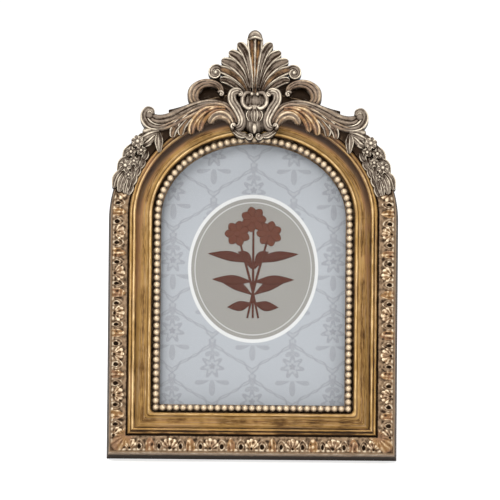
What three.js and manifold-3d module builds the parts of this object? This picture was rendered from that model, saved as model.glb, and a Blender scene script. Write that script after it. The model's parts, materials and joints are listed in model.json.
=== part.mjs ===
// Ornate arched resin photo frame for a 2.5 x 3.5 inch picture, standing on its easel leg.
// Sizes are millimetres. The frame is modelled lying on its back: x to the right, y up the face, z out of it.
// The last group leans it back and stands it on the floor with +Z up, facing -Y.
import * as THREE from "three";
import { mergeVertices } from "three/addons/utils/BufferGeometryUtils.js";
import Module from "manifold-3d";

const wasm = await Module();
wasm.setup();

// Picture and opening
const PHOTO_W = 63.5;
const PHOTO_H = 88.9;
const LIP = 1.85;
const ARCH_RISE = 24.2;

// Face of the moulding, measured outwards from the sight edge
const FACE_W = 17.05;
const SIDE_DRAFT = 0.9;
const RIM_W = 0.9;
const BAND_CROWN = 13.5;
const GROOVE_OUT = 10.7;
const GROOVE_W = 0.55;
const LINER_IN = 2.8;
const ROLL_W = 1.3;
const ROLL_R = 0.6;
const FILLET_W = 1.7;
const FILLET_STEP = 0.7;
const CREASE_W = 0.15;
const SCALLOP = 0.7;

// Heights above the rear face
const RABBET_DEPTH = 5.5;
const LEDGE_Z = 7.5;
const RIM_Z = 11.2;
const BAND_Z = 13.5;
const BAND_RELIEF = 1.0;
const FILLET_Z = 12.5;
const COVE_Z = 9.5;
const ROLL_Z = 10.5;

// Fits
const GAP = 0.3;
const BORE_GAP = 0.15;

// Carved border and pearls
const MOTIF_PITCH = 13.2;
const BEAD_D = 1.9;
const BEAD_NECK_D = 0.9;
const BEAD_PITCH = 2.22;
const BEAD_IN = 1.35;

// Crest
const CREST_RISE = 19.5;
const CREST_UNIT_COUNT = 19.5;
const FACE_UNIT_COUNT = 17.05;
const CREST_T = 6;
const LEAF_FLAT = 0.4;
const LEAF_SHOULDER = 0.6;
const BUD_FLAT = 0.55;
const BUD_SHOULDER = 0.5;

// Glazing and backing
const GLASS_T = 2;
const CARD_T = 0.4;
const BOARD_T = 2.2;

// Turn buttons
const BUTTON_W = 6.5;
const BUTTON_T = 0.8;
const BUTTON_REACH = 9.5;
const BUTTON_TAIL = 4;
const BUTTON_SETBACK = 4.6;
const BUTTON_RISE = 17;
const BUTTON_ARCH_DEG = 38;
const SCREW_R = 1.15;
const SCREW_HEAD_R = 2.2;
const SCREW_HEAD_T = 1.2;
const SCREW_DEPTH = 4;
const SLOT_W = 0.6;
const SLOT_REACH = 0.65;
const SLOT_DEPTH = 0.5;

// Easel leg and its hinge
const LEAN_DEG = 14;
const OPEN_DEG = 26;
const PIN_RISE = 59;
const PIN_R = 0.7;
const KNUCKLE_R = 1.5;
const KNUCKLE_L = 8;
const LEAF_W = 18;
const LEAF_H = 12;
const LEAF_T = 0.6;
const LEAF_CHAMFER = 2;
const LEAF_INSET = 1;
const LEG_TOP_W = 21;
const LEG_FOOT_W = 34;
const LEG_T = 2;
const LEG_GAP = 0.4;
const LEG_WAIST = 0.5;
const FOOT_NOTCH_W = 18;
const FOOT_NOTCH_H = 5;
const STOP_L = 5;
const RIVET_R = 0.9;
const RIVET_HEAD_R = 1.8;
const RIVET_HEAD_T = 0.8;
const RIVET_X = 5.6;
const RIVET_SETBACK = 8;

// Sawtooth hanger
const HANGER_W = 28;
const HANGER_H = 5.5;
const HANGER_T = 0.8;
const HANGER_LIFT = 1.1;
const HANGER_FOOT = 4.2;
const HANGER_RISE = 14;
const TOOTH_COUNT = 7;
const TOOTH_H = 1;
const NAIL_R = 0.5;
const NAIL_HEAD_R = 1.1;
const NAIL_HEAD_T = 0.5;

// Domed heads: how far the flat on top reaches, and how deep the round at its edge goes
const HEAD_FLAT = 0.6;
const SCREW_ROUND = 0.45;
const RIVET_ROUND = 0.6;

// Roundness
const ARCH_STEPS = 28;
const ROUND_STEPS = 12;

const rad = THREE.MathUtils.degToRad;
const lerp = THREE.MathUtils.lerp;

const SIGHT_HALF = PHOTO_W / 2 - LIP;
const SIGHT_Y0 = FACE_W;
const SIGHT_H = PHOTO_H - 2 * LIP;
const SPRING_Y = SIGHT_Y0 + SIGHT_H - ARCH_RISE;
const PIN_Y = SIGHT_Y0 + PIN_RISE;
const HANGER_Y = SPRING_Y + HANGER_RISE;

// Joining and cutting
function toSolid(geometry) {
  const bare = geometry.clone();
  bare.deleteAttribute("normal");
  bare.deleteAttribute("uv");
  const merged = mergeVertices(bare);
  return new wasm.Manifold(new wasm.Mesh({
    numProp: 3,
    vertProperties: merged.attributes.position.array,
    triVerts: new Uint32Array(merged.index.array),
  }));
}

function toGeometry(solid) {
  const mesh = solid.getMesh();
  const geometry = new THREE.BufferGeometry();
  geometry.setAttribute("position", new THREE.Float32BufferAttribute(mesh.vertProperties, 3));
  geometry.setIndex(Array.from(mesh.triVerts));
  geometry.computeVertexNormals();
  return geometry;
}

function join(geometries) {
  return toGeometry(geometries.map(toSolid).reduce((sum, next) => sum.add(next)));
}

function cut(geometry, tools) {
  return toGeometry(tools.map(toSolid).reduce((rest, tool) => rest.subtract(tool), toSolid(geometry)));
}

// Basic shapes, all with their axis along z
function slab(shape, z0, z1) {
  const options = { depth: z1 - z0, bevelEnabled: false, curveSegments: ROUND_STEPS / 2 };
  return new THREE.ExtrudeGeometry(shape, options).translate(0, 0, z0);
}

function block(x0, x1, y0, y1, z0, z1) {
  const geometry = new THREE.BoxGeometry(x1 - x0, y1 - y0, z1 - z0);
  return geometry.translate((x0 + x1) / 2, (y0 + y1) / 2, (z0 + z1) / 2);
}

function rod(radius, z0, z1) {
  const geometry = new THREE.CylinderGeometry(radius, radius, z1 - z0, ROUND_STEPS);
  return geometry.rotateX(Math.PI / 2).translate(0, 0, (z0 + z1) / 2);
}

function turned(profile) {
  const points = profile.map(([radius, z]) => new THREE.Vector2(radius, z));
  return new THREE.LatheGeometry(points, ROUND_STEPS).rotateX(Math.PI / 2);
}

// The rectangle under an elliptical arch that every moulding line follows, grown outwards by `out`
function archShape(out) {
  const half = SIGHT_HALF + out;
  const shape = new THREE.Shape();
  shape.moveTo(-half, SIGHT_Y0 - out);
  shape.lineTo(half, SIGHT_Y0 - out);
  for (let step = 0; step <= ARCH_STEPS; step += 1) {
    const angle = (Math.PI * step) / ARCH_STEPS;
    shape.lineTo(half * Math.cos(angle), SPRING_Y + (ARCH_RISE + out) * Math.sin(angle));
  }
  shape.closePath();
  return shape;
}

// A station is a place on that line: a run and how far along it, from 0 to 1.
// The runs are 0 for the bottom, 1 for the right side, 2 for the arch and 3 for the left side.
function loopPoint({ run, along }, out) {
  const half = SIGHT_HALF + out;
  const low = SIGHT_Y0 - out;
  if (run === 0) return [lerp(-half, half, along), low];
  if (run === 1) return [half, lerp(low, SPRING_Y, along)];
  if (run === 3) return [-half, lerp(SPRING_Y, low, along)];
  const angle = Math.PI * along;
  return [half * Math.cos(angle), SPRING_Y + (ARCH_RISE + out) * Math.sin(angle)];
}

function evenRun(run, count) {
  return Array.from({ length: count }, (_, index) => ({ run, along: index / count }));
}

const PLAIN_STATIONS = [...evenRun(0, 1), ...evenRun(1, 1), ...evenRun(2, ARCH_STEPS), ...evenRun(3, 1)];

// Stations at equal distances along the line at `out`: along the bottom, then from its right corner over the
// arch to its left corner, so that both corners get one
function pacedStations(out, pitch) {
  const fine = [1, 2, 3].flatMap((run) => evenRun(run, 120));
  fine.push({ run: 3, along: 1 });
  const places = fine.map((station) => new THREE.Vector2(...loopPoint(station, out)));
  const reached = [0];
  for (let i = 1; i < places.length; i += 1) {
    reached.push(reached[i - 1] + places[i].distanceTo(places[i - 1]));
  }
  const total = reached.at(-1);
  const count = Math.round(total / pitch);
  const stations = [];
  for (let step = 0; step < count; step += 1) {
    const goal = (total * step) / count;
    const i = Math.max(1, reached.findIndex((length) => length >= goal));
    const part = (goal - reached[i - 1]) / (reached[i] - reached[i - 1]);
    const end = fine[i].run === fine[i - 1].run ? fine[i].along : 1;
    stations.push({ run: fine[i - 1].run, along: lerp(fine[i - 1].along, end, part) });
  }
  const bottomCount = Math.round((2 * (SIGHT_HALF + out)) / pitch);
  return [...evenRun(0, bottomCount), ...stations];
}

function ringGrid(rings, closed) {
  const around = rings[0].length;
  const positions = rings.flat(2);
  const faces = [];
  const last = closed ? rings.length : rings.length - 1;
  for (let i = 0; i < last; i += 1) {
    const next = (i + 1) % rings.length;
    for (let j = 0; j < around; j += 1) {
      const side = (j + 1) % around;
      faces.push(i * around + j, next * around + side, next * around + j);
      faces.push(i * around + j, i * around + side, next * around + side);
    }
  }
  if (!closed) {
    const tail = (rings.length - 1) * around;
    for (let j = 1; j < around - 1; j += 1) {
      faces.push(0, j + 1, j);
      faces.push(tail, tail + j, tail + j + 1);
    }
  }
  const geometry = new THREE.BufferGeometry();
  geometry.setAttribute("position", new THREE.Float32BufferAttribute(positions, 3));
  geometry.setIndex(faces);
  geometry.computeVertexNormals();
  return geometry;
}

// A closed moulding: profileAt(station, index) gives [out, z] points, rear face first, inwards, then forwards
function moulding(stations, profileAt) {
  const rings = stations.map((station, index) => {
    const profile = profileAt(station, index);
    return profile.map(([out, z]) => [...loopPoint(station, out), z]);
  });
  return ringGrid(rings, true);
}

// Outer casting: rear face, rabbet for the glass, ledge for liner and pearls, carved border, drafted side
const borderSteps = (length) => 4 * Math.round(length / MOTIF_PITCH);
const SIDE_STEPS = borderSteps(SPRING_Y - SIGHT_Y0 + BAND_CROWN);
const BOTTOM_STEPS = borderSteps(2 * (SIGHT_HALF + BAND_CROWN));
const BORDER_STATIONS = [
  ...evenRun(0, BOTTOM_STEPS),
  ...evenRun(1, SIDE_STEPS),
  ...evenRun(2, ARCH_STEPS),
  ...evenRun(3, SIDE_STEPS),
];

function castingProfile(station, index) {
  const valley = station.run !== 2 && index % 2 === 1 ? 1 : 0;
  return [
    [FACE_W, 0],
    [LIP, 0],
    [LIP, RABBET_DEPTH],
    [0, RABBET_DEPTH],
    [0, LEDGE_Z],
    [GROOVE_OUT, LEDGE_Z],
    [GROOVE_OUT + SCALLOP * valley, BAND_Z - BAND_RELIEF / 2 - BAND_RELIEF * valley],
    [BAND_CROWN, BAND_Z - BAND_RELIEF * valley],
    [FACE_W - SIDE_DRAFT - RIM_W, RIM_Z + RIM_W],
    [FACE_W - SIDE_DRAFT, RIM_Z],
  ];
}

// Gold liner: flat fillet, hollow cove and inner roll
const LINER_OUT = GROOVE_OUT - GROOVE_W;
const COVE_OUT = LINER_OUT - FILLET_W;
const COVE_IN = LINER_IN + ROLL_W;
const COVE_RISE = FILLET_Z - FILLET_STEP - COVE_Z;
const LINER_BASE = LEDGE_Z + GAP;

function linerProfile() {
  const cove = [0, 0.4, 0.72, 1].map((part) => {
    const bend = Math.sin((part * Math.PI) / 2);
    const rise = 1 - Math.sqrt(1 - part * bend);
    return [lerp(COVE_IN, COVE_OUT, part), COVE_Z + COVE_RISE * rise];
  });
  return [
    [LINER_OUT, LINER_BASE],
    [LINER_IN, LINER_BASE],
    [LINER_IN, ROLL_Z - ROLL_R],
    [LINER_IN + ROLL_R, ROLL_Z],
    ...cove,
    [COVE_OUT + CREASE_W, FILLET_Z],
    [LINER_OUT, FILLET_Z],
  ];
}

// Pearl course: a string of beads on the ledge between the liner and the sight edge
const BEAD_Z = LEDGE_Z + GAP + BEAD_D / 2;
const BEAD_SIDES = 5;

function beadProfile(station, index) {
  const radius = (index % 2 === 0 ? BEAD_D : BEAD_NECK_D) / 2;
  return Array.from({ length: BEAD_SIDES }, (_, side) => {
    const angle = (-2 * Math.PI * (side + 0.5)) / BEAD_SIDES;
    return [BEAD_IN + radius * Math.cos(angle), BEAD_Z + radius * Math.sin(angle)];
  });
}

function beadStations() {
  const beads = pacedStations(BEAD_IN, BEAD_PITCH);
  return beads.flatMap((station, index) => {
    const next = beads[(index + 1) % beads.length];
    const end = next.run === station.run ? next.along : 1;
    return [station, { run: station.run, along: lerp(station.along, end, 0.5) }];
  });
}

// Space that the front of the frame takes up, grown by the fit, for seating the ornament on it
function seatProfile() {
  return [
    [FACE_W + GAP, -GAP],
    [-GAP, -GAP],
    [-GAP, BEAD_Z + BEAD_D / 2 + GAP],
    [LINER_IN, ROLL_Z + GAP],
    [COVE_IN, ROLL_Z + GAP],
    [COVE_OUT, FILLET_Z + GAP],
    [LINER_OUT, BAND_Z - BAND_RELIEF / 2 + GAP],
    [BAND_CROWN, BAND_Z + GAP],
    [FACE_W - SIDE_DRAFT + GAP, RIM_Z + RIM_W + GAP],
  ];
}

const seat = moulding(PLAIN_STATIONS, seatProfile);

// Carved ornament. Its drawing is in units of one millimetre at the present sizes: a count of them from the
// arch's crown up to the crest's tip, and another down to the sight edge. Points on the crest are
// [across, up from the crown, height over the border], points on a shoulder [degrees, inset, height].
const UNIT = CREST_RISE / CREST_UNIT_COUNT;
const DROP_UNIT = FACE_W / FACE_UNIT_COUNT;
const CROWN_Y = SPRING_Y + ARCH_RISE + FACE_W;
const CREST_Z = BAND_Z - CREST_T;

function onCrest([x, y, rise]) {
  const up = y < 0 ? y * DROP_UNIT : y * UNIT;
  return new THREE.Vector3(x * UNIT, CROWN_Y + up, BAND_Z + rise * UNIT);
}

function onShoulder([degrees, inset, rise]) {
  const [x, y] = loopPoint({ run: 2, along: degrees / 180 }, FACE_W - inset * UNIT);
  return new THREE.Vector3(x, y, BAND_Z + rise * UNIT);
}

// A leaf along a path of places, with half-widths spread evenly from its root to its tip
function leaf(places, halfWidths, steps) {
  const curve = new THREE.CatmullRomCurve3(places);
  const rings = [];
  for (let step = 0; step <= steps; step += 1) {
    const part = step / steps;
    const place = curve.getPointAt(part);
    const ahead = curve.getTangentAt(part);
    const across = new THREE.Vector2(-ahead.y, ahead.x).normalize();
    const slot = part * (halfWidths.length - 1);
    const from = Math.min(Math.floor(slot), halfWidths.length - 2);
    const half = UNIT * lerp(halfWidths[from], halfWidths[from + 1], slot - from);
    const shoulder = place.z - half * LEAF_SHOULDER;
    const section = [
      [-half, CREST_Z],
      [half, CREST_Z],
      [half, shoulder],
      [half * LEAF_FLAT, place.z],
      [-half * LEAF_FLAT, place.z],
      [-half, shoulder],
    ];
    rings.push(section.map(([aside, z]) => [place.x + across.x * aside, place.y + across.y * aside, z]));
  }
  return ringGrid(rings, false);
}

// A round bud or curled scroll end
function bud(place, size, turns) {
  const radius = UNIT * size;
  const profile = [
    [0, CREST_Z],
    [radius, CREST_Z],
    [radius, place.z - radius * BUD_SHOULDER],
    [radius * BUD_FLAT, place.z],
    [0, place.z],
  ];
  const points = profile.map(([r, z]) => new THREE.Vector2(r, z));
  return new THREE.LatheGeometry(points, turns).rotateX(Math.PI / 2).translate(place.x, place.y, 0);
}

function mirrored(geometry) {
  const twin = geometry.clone().scale(-1, 1, 1);
  const order = twin.index.array;
  for (let i = 0; i < order.length; i += 3) {
    [order[i], order[i + 1]] = [order[i + 1], order[i]];
  }
  return twin;
}

const crestLeaf = (points, halfWidths, steps) => leaf(points.map(onCrest), halfWidths, steps);
const crestBud = (point, size, turns = 8) => bud(onCrest(point), size, turns);

function crestHalf() {
  const palmette = [
    crestLeaf([[0.9, -1.5, -0.5], [2.3, 8, -0.5], [4.8, 15.2, 1.5]], [1, 1.9, 0.9], 4),
    crestLeaf([[1.4, -1.6, -0.5], [3.7, 6.6, -0.9], [7.4, 12.3, 1.1]], [1, 1.9, 0.9], 4),
    crestLeaf([[2, -1.7, -0.5], [5.1, 5.4, -1.1], [9.7, 10.1, 0.7]], [1, 1.9, 0.9], 4),
    crestLeaf([[2.8, -1.8, -0.5], [6.4, 3.4, -1.1], [10.4, 6.7, -0.1], [12.8, 6.4, 1.1]], [1, 1.8, 1.6], 5),
    crestBud([12.8, 5.9, 1.6], 2),
    crestLeaf([[4.2, -1.8, -1], [7.6, 2.2, -1.3], [11.6, 2.9, -0.7]], [1, 1.4, 0.8], 4),
  ];
  const upperScroll = [
    crestLeaf([
      [10.2, 0, 1], [12.2, 2, 1], [16, 2.6, 1.3], [19.6, 1.2, 1.5], [21, -1.6, 1.5], [19.6, -5, 1.5],
    ], [0.9, 1.2, 1.5, 1.4], 7),
    crestBud([10.2, -0.3, 1.7], 1.4),
  ];
  const bracket = [
    crestLeaf([
      [5.2, -1, 2.5], [7.2, -1, 2.9], [7.4, -3.8, 3.1], [4.9, -7.6, 3.3], [3.9, -11, 2.9], [5.6, -13, 2.1],
    ], [1, 1.3, 1.4, 1.2, 1.1], 8),
    crestBud([4.9, -0.8, 3.1], 1.3),
    crestBud([6.8, -12.5, 2.5], 1.3),
  ];
  const arm = [
    crestLeaf([
      [5, -10.4, 1], [9.2, -6.6, 1.9], [13.4, -4.6, 2.7], [18.5, -5.4, 2.9],
      [24, -7.8, 2.7], [29, -10.1, 2.3], [32.6, -10.1, 2.5], [35.3, -8.5, 2.9],
    ], [1.3, 1.9, 2, 1.9, 1.7, 1.5], 10),
    crestBud([34.6, -7.4, 3.4], 2.4, 10),
    crestLeaf([[7, -10, 1.5], [10.6, -7.4, 1.9], [14.4, -9.8, 0.7]], [1, 1.5, 0.5], 5),
    crestLeaf([[12, -6, 1.9], [17.4, -8, 1.9], [20, -13, 0.3]], [1.2, 1.8, 0.5], 5),
    crestLeaf([[17, -6.2, 1.9], [21.6, -9, 1.7], [23.9, -13.5, 0.3]], [1.2, 1.7, 0.5], 5),
    crestLeaf([[21.6, -7.4, 1.9], [25, -10.4, 1.5], [27, -14, 0.3]], [1.2, 1.6, 0.5], 5),
  ];
  const husk = [
    crestLeaf([[30.4, -10.4, 1.9], [31.8, -13.4, 1.9], [34.4, -15, 1.1]], [1.3, 1.6, 0.7], 4),
    crestLeaf([[32.2, -10, 1.7], [34.2, -12, 1.5], [36.4, -13, 0.7]], [1.1, 1.4, 0.7], 4),
    crestLeaf([[29.8, -10.8, 1.3], [30, -14.8, 1.1], [30.4, -18.4, 0.3]], [1, 1.4, 0.5], 4),
  ];
  return [...palmette, ...upperScroll, ...bracket, ...arm, ...husk];
}

function crestMiddle() {
  return [
    crestLeaf([
      [0, -2, 0.1], [0, 8.5, 0.1], [0, 14.5, 0.9], [0, CREST_UNIT_COUNT, 1.7],
    ], [1.2, 1.9, 1.6, 2.7, 1.5], 7),
    crestBud([0, 16.6, 2.4], 2.7),
    crestBud([0, -4.2, 2.3], 3.9, 12),
    crestLeaf([[0, -5.4, 2.3], [0, -8.2, 3.3], [0, -11, 2.1]], [1.2, 2.1, 0.7], 5),
    crestLeaf([[0, -9.8, 1.5], [0, -12, 2.1], [0, -13.8, 1.1]], [0.6, 0.9, 0.5], 4),
    crestBud([1.5, -14.3, 1.1], 1.1),
    crestBud([-1.5, -14.3, 1.1], 1.1),
    crestLeaf([
      [-6.6, -13, 1.1], [-3, -14.9, 0.5], [0, -15.2, 0.1], [3, -14.9, 0.5], [6.6, -13, 1.1],
    ], [1, 1], 8),
  ];
}

function crestGeometry() {
  const half = crestHalf();
  return cut(join([...crestMiddle(), ...half, ...half.map(mirrored)]), [seat]);
}

// Flower spray that lies on each shoulder of the border
function sprayGeometry() {
  const sprayLeaf = (points, halfWidths) => leaf(points.map(onShoulder), halfWidths, 4);
  const sprayBud = (point, size, turns) => bud(onShoulder(point), size, turns);
  const spray = [
    sprayBud([34.5, 0.4, 2.1], 2.2, 10),
    sprayBud([32.2, 3.1, 1.5], 1.7, 8),
    sprayBud([22.7, 2.2, 1.7], 2.3, 10),
    sprayBud([19.7, 4.5, 1.3], 1.3, 8),
    sprayLeaf([[32.8, 1.7, 0.9], [28.6, 1.1, 1.1], [23.7, 1.1, 0.7]], [1.4, 2, 1.6]),
    sprayLeaf([[33.9, 2.9, 0.7], [27.2, 3.4, 0.9], [20.9, 3.7, 0.7]], [1.4, 1.9, 1.5]),
    sprayLeaf([[22.2, 2, 0.9], [15.9, 1.8, 0.9], [9.2, 2.4, 0.3]], [1.1, 1.5, 0.5]),
    sprayLeaf([[21.9, 3.2, 0.9], [15.9, 3.8, 1.1], [8.6, 4.8, 0.3]], [1.1, 1.5, 0.5]),
    sprayLeaf([[34.6, 0.4, 0.9], [37.6, 0.8, 0.9], [40, 1.6, 0.3]], [1.1, 1.3, 0.5]),
  ];
  return cut(join(spray), [seat]);
}

// Turn buttons on the rear face
const BUTTON_Z = -GAP;
const SCREW_HEAD_Z = BUTTON_Z - BUTTON_T - GAP;

function buttonPivots() {
  const out = LIP + BUTTON_SETBACK;
  const low = { x: SIGHT_HALF + out, y: SIGHT_Y0 + BUTTON_RISE, turn: 180 };
  const [archX, archY] = loopPoint({ run: 2, along: BUTTON_ARCH_DEG / 180 }, out);
  const high = { x: archX, y: archY, turn: 180 + BUTTON_ARCH_DEG };
  return [
    { name: "low_right", ...low },
    { name: "high_right", ...high },
    { name: "high_left", x: -high.x, y: high.y, turn: 180 - high.turn },
    { name: "low_left", x: -low.x, y: low.y, turn: 0 },
  ];
}

function buttonGeometry() {
  const half = BUTTON_W / 2;
  const shape = new THREE.Shape();
  shape.moveTo(half - BUTTON_TAIL, -half);
  shape.absarc(BUTTON_REACH - half, 0, half, -Math.PI / 2, Math.PI / 2);
  shape.absarc(half - BUTTON_TAIL, 0, half, Math.PI / 2, 1.5 * Math.PI);
  const hole = new THREE.Path();
  hole.absarc(0, 0, SCREW_R + BORE_GAP, 0, 2 * Math.PI, true);
  shape.holes.push(hole);
  return slab(shape, BUTTON_Z - BUTTON_T, BUTTON_Z);
}

function screwGeometry() {
  const top = SCREW_HEAD_Z - SCREW_HEAD_T;
  const driven = turned([
    [0, top],
    [SCREW_HEAD_R * HEAD_FLAT, top],
    [SCREW_HEAD_R, top + SCREW_HEAD_T * SCREW_ROUND],
    [SCREW_HEAD_R, SCREW_HEAD_Z],
    [SCREW_R, SCREW_HEAD_Z],
    [SCREW_R, SCREW_DEPTH],
    [0, SCREW_DEPTH],
  ]);
  const floor = top + SCREW_HEAD_T * SLOT_DEPTH;
  const half = SLOT_W / 2;
  const reach = SCREW_HEAD_R * SLOT_REACH;
  const across = block(-reach, reach, -half, half, top - GAP, floor);
  const along = block(-half, half, -reach, reach, top - GAP, floor);
  return cut(driven, [across, along]);
}

const screwBore = (x, y) => rod(SCREW_R + BORE_GAP, -GAP, SCREW_DEPTH + GAP).translate(x, y, 0);

// Hinge, easel leg and backing board. The leg is drawn closed against the board, the hinge pin as its origin.
const PIN_Z = -GAP - KNUCKLE_R;
const LEG_IN = -LEG_GAP - PIN_Z;
const LEG_OUT = LEG_IN - LEG_T;
const LEG_LEAF_IN = LEG_OUT - GAP;
const LEG_TOP_Y = -KNUCKLE_R - GAP;
const PIN_LIFT = PIN_Y * Math.cos(rad(LEAN_DEG)) + PIN_Z * Math.sin(rad(LEAN_DEG));
const LEG_REACH = PIN_LIFT / Math.cos(rad(OPEN_DEG - LEAN_DEG));
const NOTCH_Y = KNUCKLE_R + GAP;
const HOLE_R = RIVET_R + BORE_GAP;

// Pieces along x: a knuckle is a tube round the pin
function knuckle(x0, x1) {
  const tube = new THREE.Shape();
  tube.absarc(0, 0, KNUCKLE_R, 0, 2 * Math.PI);
  return slab(tube, x0, x1).rotateY(Math.PI / 2);
}

const pinBore = rod(PIN_R + BORE_GAP, -LEAF_W, LEAF_W).rotateY(Math.PI / 2);
const rivetBores = (y, z0, z1) => [-RIVET_X, RIVET_X].map((x) => rod(HOLE_R, z0, z1).translate(x, y, 0));

function boardLeafGeometry() {
  const inner = KNUCKLE_L / 2 + GAP;
  const outer = LEAF_W / 2;
  const shape = new THREE.Shape();
  shape.moveTo(-outer, 0);
  shape.lineTo(-inner, 0);
  shape.lineTo(-inner, NOTCH_Y);
  shape.lineTo(inner, NOTCH_Y);
  shape.lineTo(inner, 0);
  shape.lineTo(outer, 0);
  shape.lineTo(outer, LEAF_H - LEAF_CHAMFER);
  shape.lineTo(outer - LEAF_CHAMFER, LEAF_H);
  shape.lineTo(LEAF_CHAMFER - outer, LEAF_H);
  shape.lineTo(-outer, LEAF_H - LEAF_CHAMFER);
  shape.closePath();
  const front = -GAP - PIN_Z;
  const plate = slab(shape, front - LEAF_T, front);
  const bores = [pinBore, ...rivetBores(RIVET_SETBACK, 0, 2 * front)];
  return cut(join([plate, knuckle(-outer, -inner), knuckle(inner, outer)]), bores);
}

function legLeafGeometry() {
  const inner = KNUCKLE_L / 2;
  const outer = LEAF_W / 2 - LEAF_INSET;
  const shape = new THREE.Shape();
  shape.moveTo(-inner, 0);
  shape.lineTo(-inner, -NOTCH_Y);
  shape.lineTo(-outer, -NOTCH_Y);
  shape.lineTo(-outer, LEAF_CHAMFER - LEAF_H);
  shape.lineTo(LEAF_CHAMFER - outer, -LEAF_H);
  shape.lineTo(outer - LEAF_CHAMFER, -LEAF_H);
  shape.lineTo(outer, LEAF_CHAMFER - LEAF_H);
  shape.lineTo(outer, -NOTCH_Y);
  shape.lineTo(inner, -NOTCH_Y);
  shape.lineTo(inner, 0);
  shape.closePath();
  const plate = slab(shape, LEG_LEAF_IN - LEAF_T, LEG_LEAF_IN);
  const stop = block(-inner, inner, 0, STOP_L, 0, LEAF_T).rotateX(-rad(OPEN_DEG));
  const bores = [pinBore, ...rivetBores(-RIVET_SETBACK, 2 * LEG_LEAF_IN, 0)];
  return cut(join([plate, knuckle(-inner, inner), stop]), bores);
}

function legGeometry() {
  const spare = LEG_T + GAP;
  const foot = -LEG_REACH - spare;
  const top = LEG_TOP_W / 2;
  const wide = LEG_FOOT_W / 2;
  const notch = FOOT_NOTCH_W / 2;
  const shape = new THREE.Shape();
  shape.moveTo(-top, LEG_TOP_Y);
  shape.quadraticCurveTo(-top, -LEG_REACH * LEG_WAIST, -wide, foot);
  shape.lineTo(-notch, foot);
  shape.quadraticCurveTo(0, foot + 2 * (FOOT_NOTCH_H + spare), notch, foot);
  shape.lineTo(wide, foot);
  shape.quadraticCurveTo(top, -LEG_REACH * LEG_WAIST, top, LEG_TOP_Y);
  shape.closePath();
  const floor = block(-LEG_FOOT_W, LEG_FOOT_W, -LEG_REACH, 0, -LEG_REACH, LEG_REACH)
    .translate(0, -LEG_REACH * Math.cos(rad(OPEN_DEG - LEAN_DEG)), 0)
    .rotateX(rad(LEAN_DEG - OPEN_DEG));
  const bores = rivetBores(-RIVET_SETBACK, 2 * LEG_OUT - GAP, LEG_IN + GAP);
  return cut(slab(shape, LEG_OUT, LEG_IN), [floor, ...bores]);
}

// A rivet with its head at z = head, outwards to -z, and its shank up to z = end
function rivetGeometry(head, end, shankR, headR, headT) {
  return turned([
    [0, head - headT],
    [headR * HEAD_FLAT, head - headT],
    [headR, head - headT * (1 - RIVET_ROUND)],
    [headR, head],
    [shankR, head],
    [shankR, end],
    [0, end],
  ]);
}

function hingePinGeometry() {
  return rod(PIN_R, -LEAF_W / 2 - GAP, LEAF_W / 2 + GAP).rotateY(Math.PI / 2);
}

// Sawtooth hanger: a strip bridged between two nailed feet, with teeth along its lower edge
const NAIL_X = (HANGER_W - HANGER_FOOT) / 2;
const NAIL_HEAD_Z = -GAP - HANGER_T - GAP / 2;
const NAIL_BORE_R = NAIL_R + BORE_GAP;
const nailBores = (y, z0, z1) => [-NAIL_X, NAIL_X].map((x) => rod(NAIL_BORE_R, z0, z1).translate(x, y, 0));

function hangerGeometry() {
  const half = HANGER_W / 2;
  const rise = half - HANGER_FOOT;
  const level = half - HANGER_FOOT - HANGER_LIFT;
  const side = new THREE.Shape();
  side.moveTo(-half, 0);
  side.lineTo(-rise, 0);
  side.lineTo(-level, HANGER_LIFT);
  side.lineTo(level, HANGER_LIFT);
  side.lineTo(rise, 0);
  side.lineTo(half, 0);
  side.lineTo(half, HANGER_T);
  side.lineTo(rise - HANGER_T / 2, HANGER_T);
  side.lineTo(level - HANGER_T / 2, HANGER_LIFT + HANGER_T);
  side.lineTo(HANGER_T / 2 - level, HANGER_LIFT + HANGER_T);
  side.lineTo(HANGER_T / 2 - rise, HANGER_T);
  side.lineTo(-half, HANGER_T);
  side.closePath();
  const strip = slab(side, 0, HANGER_H).rotateX(Math.PI / 2).scale(1, -1, -1).translate(0, 0, -GAP);
  const reach = level - HANGER_T;
  const pitch = (2 * reach) / TOOTH_COUNT;
  const notches = Array.from({ length: TOOTH_COUNT }, (_, index) => {
    const tooth = new THREE.Shape();
    const x = -reach + pitch * index;
    tooth.moveTo(x, -GAP);
    tooth.lineTo(x + pitch, -GAP);
    tooth.lineTo(x + pitch / 2, TOOTH_H);
    tooth.closePath();
    return slab(tooth, -2 * GAP - HANGER_LIFT - HANGER_T, 0);
  });
  return cut(strip, [...notches, ...nailBores(HANGER_H / 2, -2 * HANGER_T, 0)]);
}

function boardGeometry() {
  const hingeBores = rivetBores(PIN_Y + RIVET_SETBACK, -GAP, BOARD_T + GAP);
  const hangerBores = nailBores(HANGER_Y + HANGER_H / 2, -GAP, BOARD_T - GAP);
  return cut(slab(archShape(LIP - GAP), 0, BOARD_T), [...hingeBores, ...hangerBores]);
}

// Finishes
const finish = (color, roughness, metalness) => ({ color, roughness, metalness });
const CHAMPAGNE = finish(0x9c8564, 0.42, 0.35);
const GOLD = finish(0xa67e42, 0.36, 0.45);
const PEARL = finish(0xc2a884, 0.36, 0.35);
const GLASS = finish(0xdfe9ea, 0.05, 0);
const CARD = finish(0xb7babc, 0.8, 0);
const BOARD = finish(0x1d1b1a, 0.95, 0);
const STEEL = finish(0x9a978f, 0.38, 0.9);

function piece(name, geometry, look) {
  const mesh = new THREE.Mesh(geometry, new THREE.MeshStandardMaterial(look));
  mesh.name = name;
  return mesh;
}

const frame = new THREE.Group();
const pivots = buttonPivots();

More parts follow.
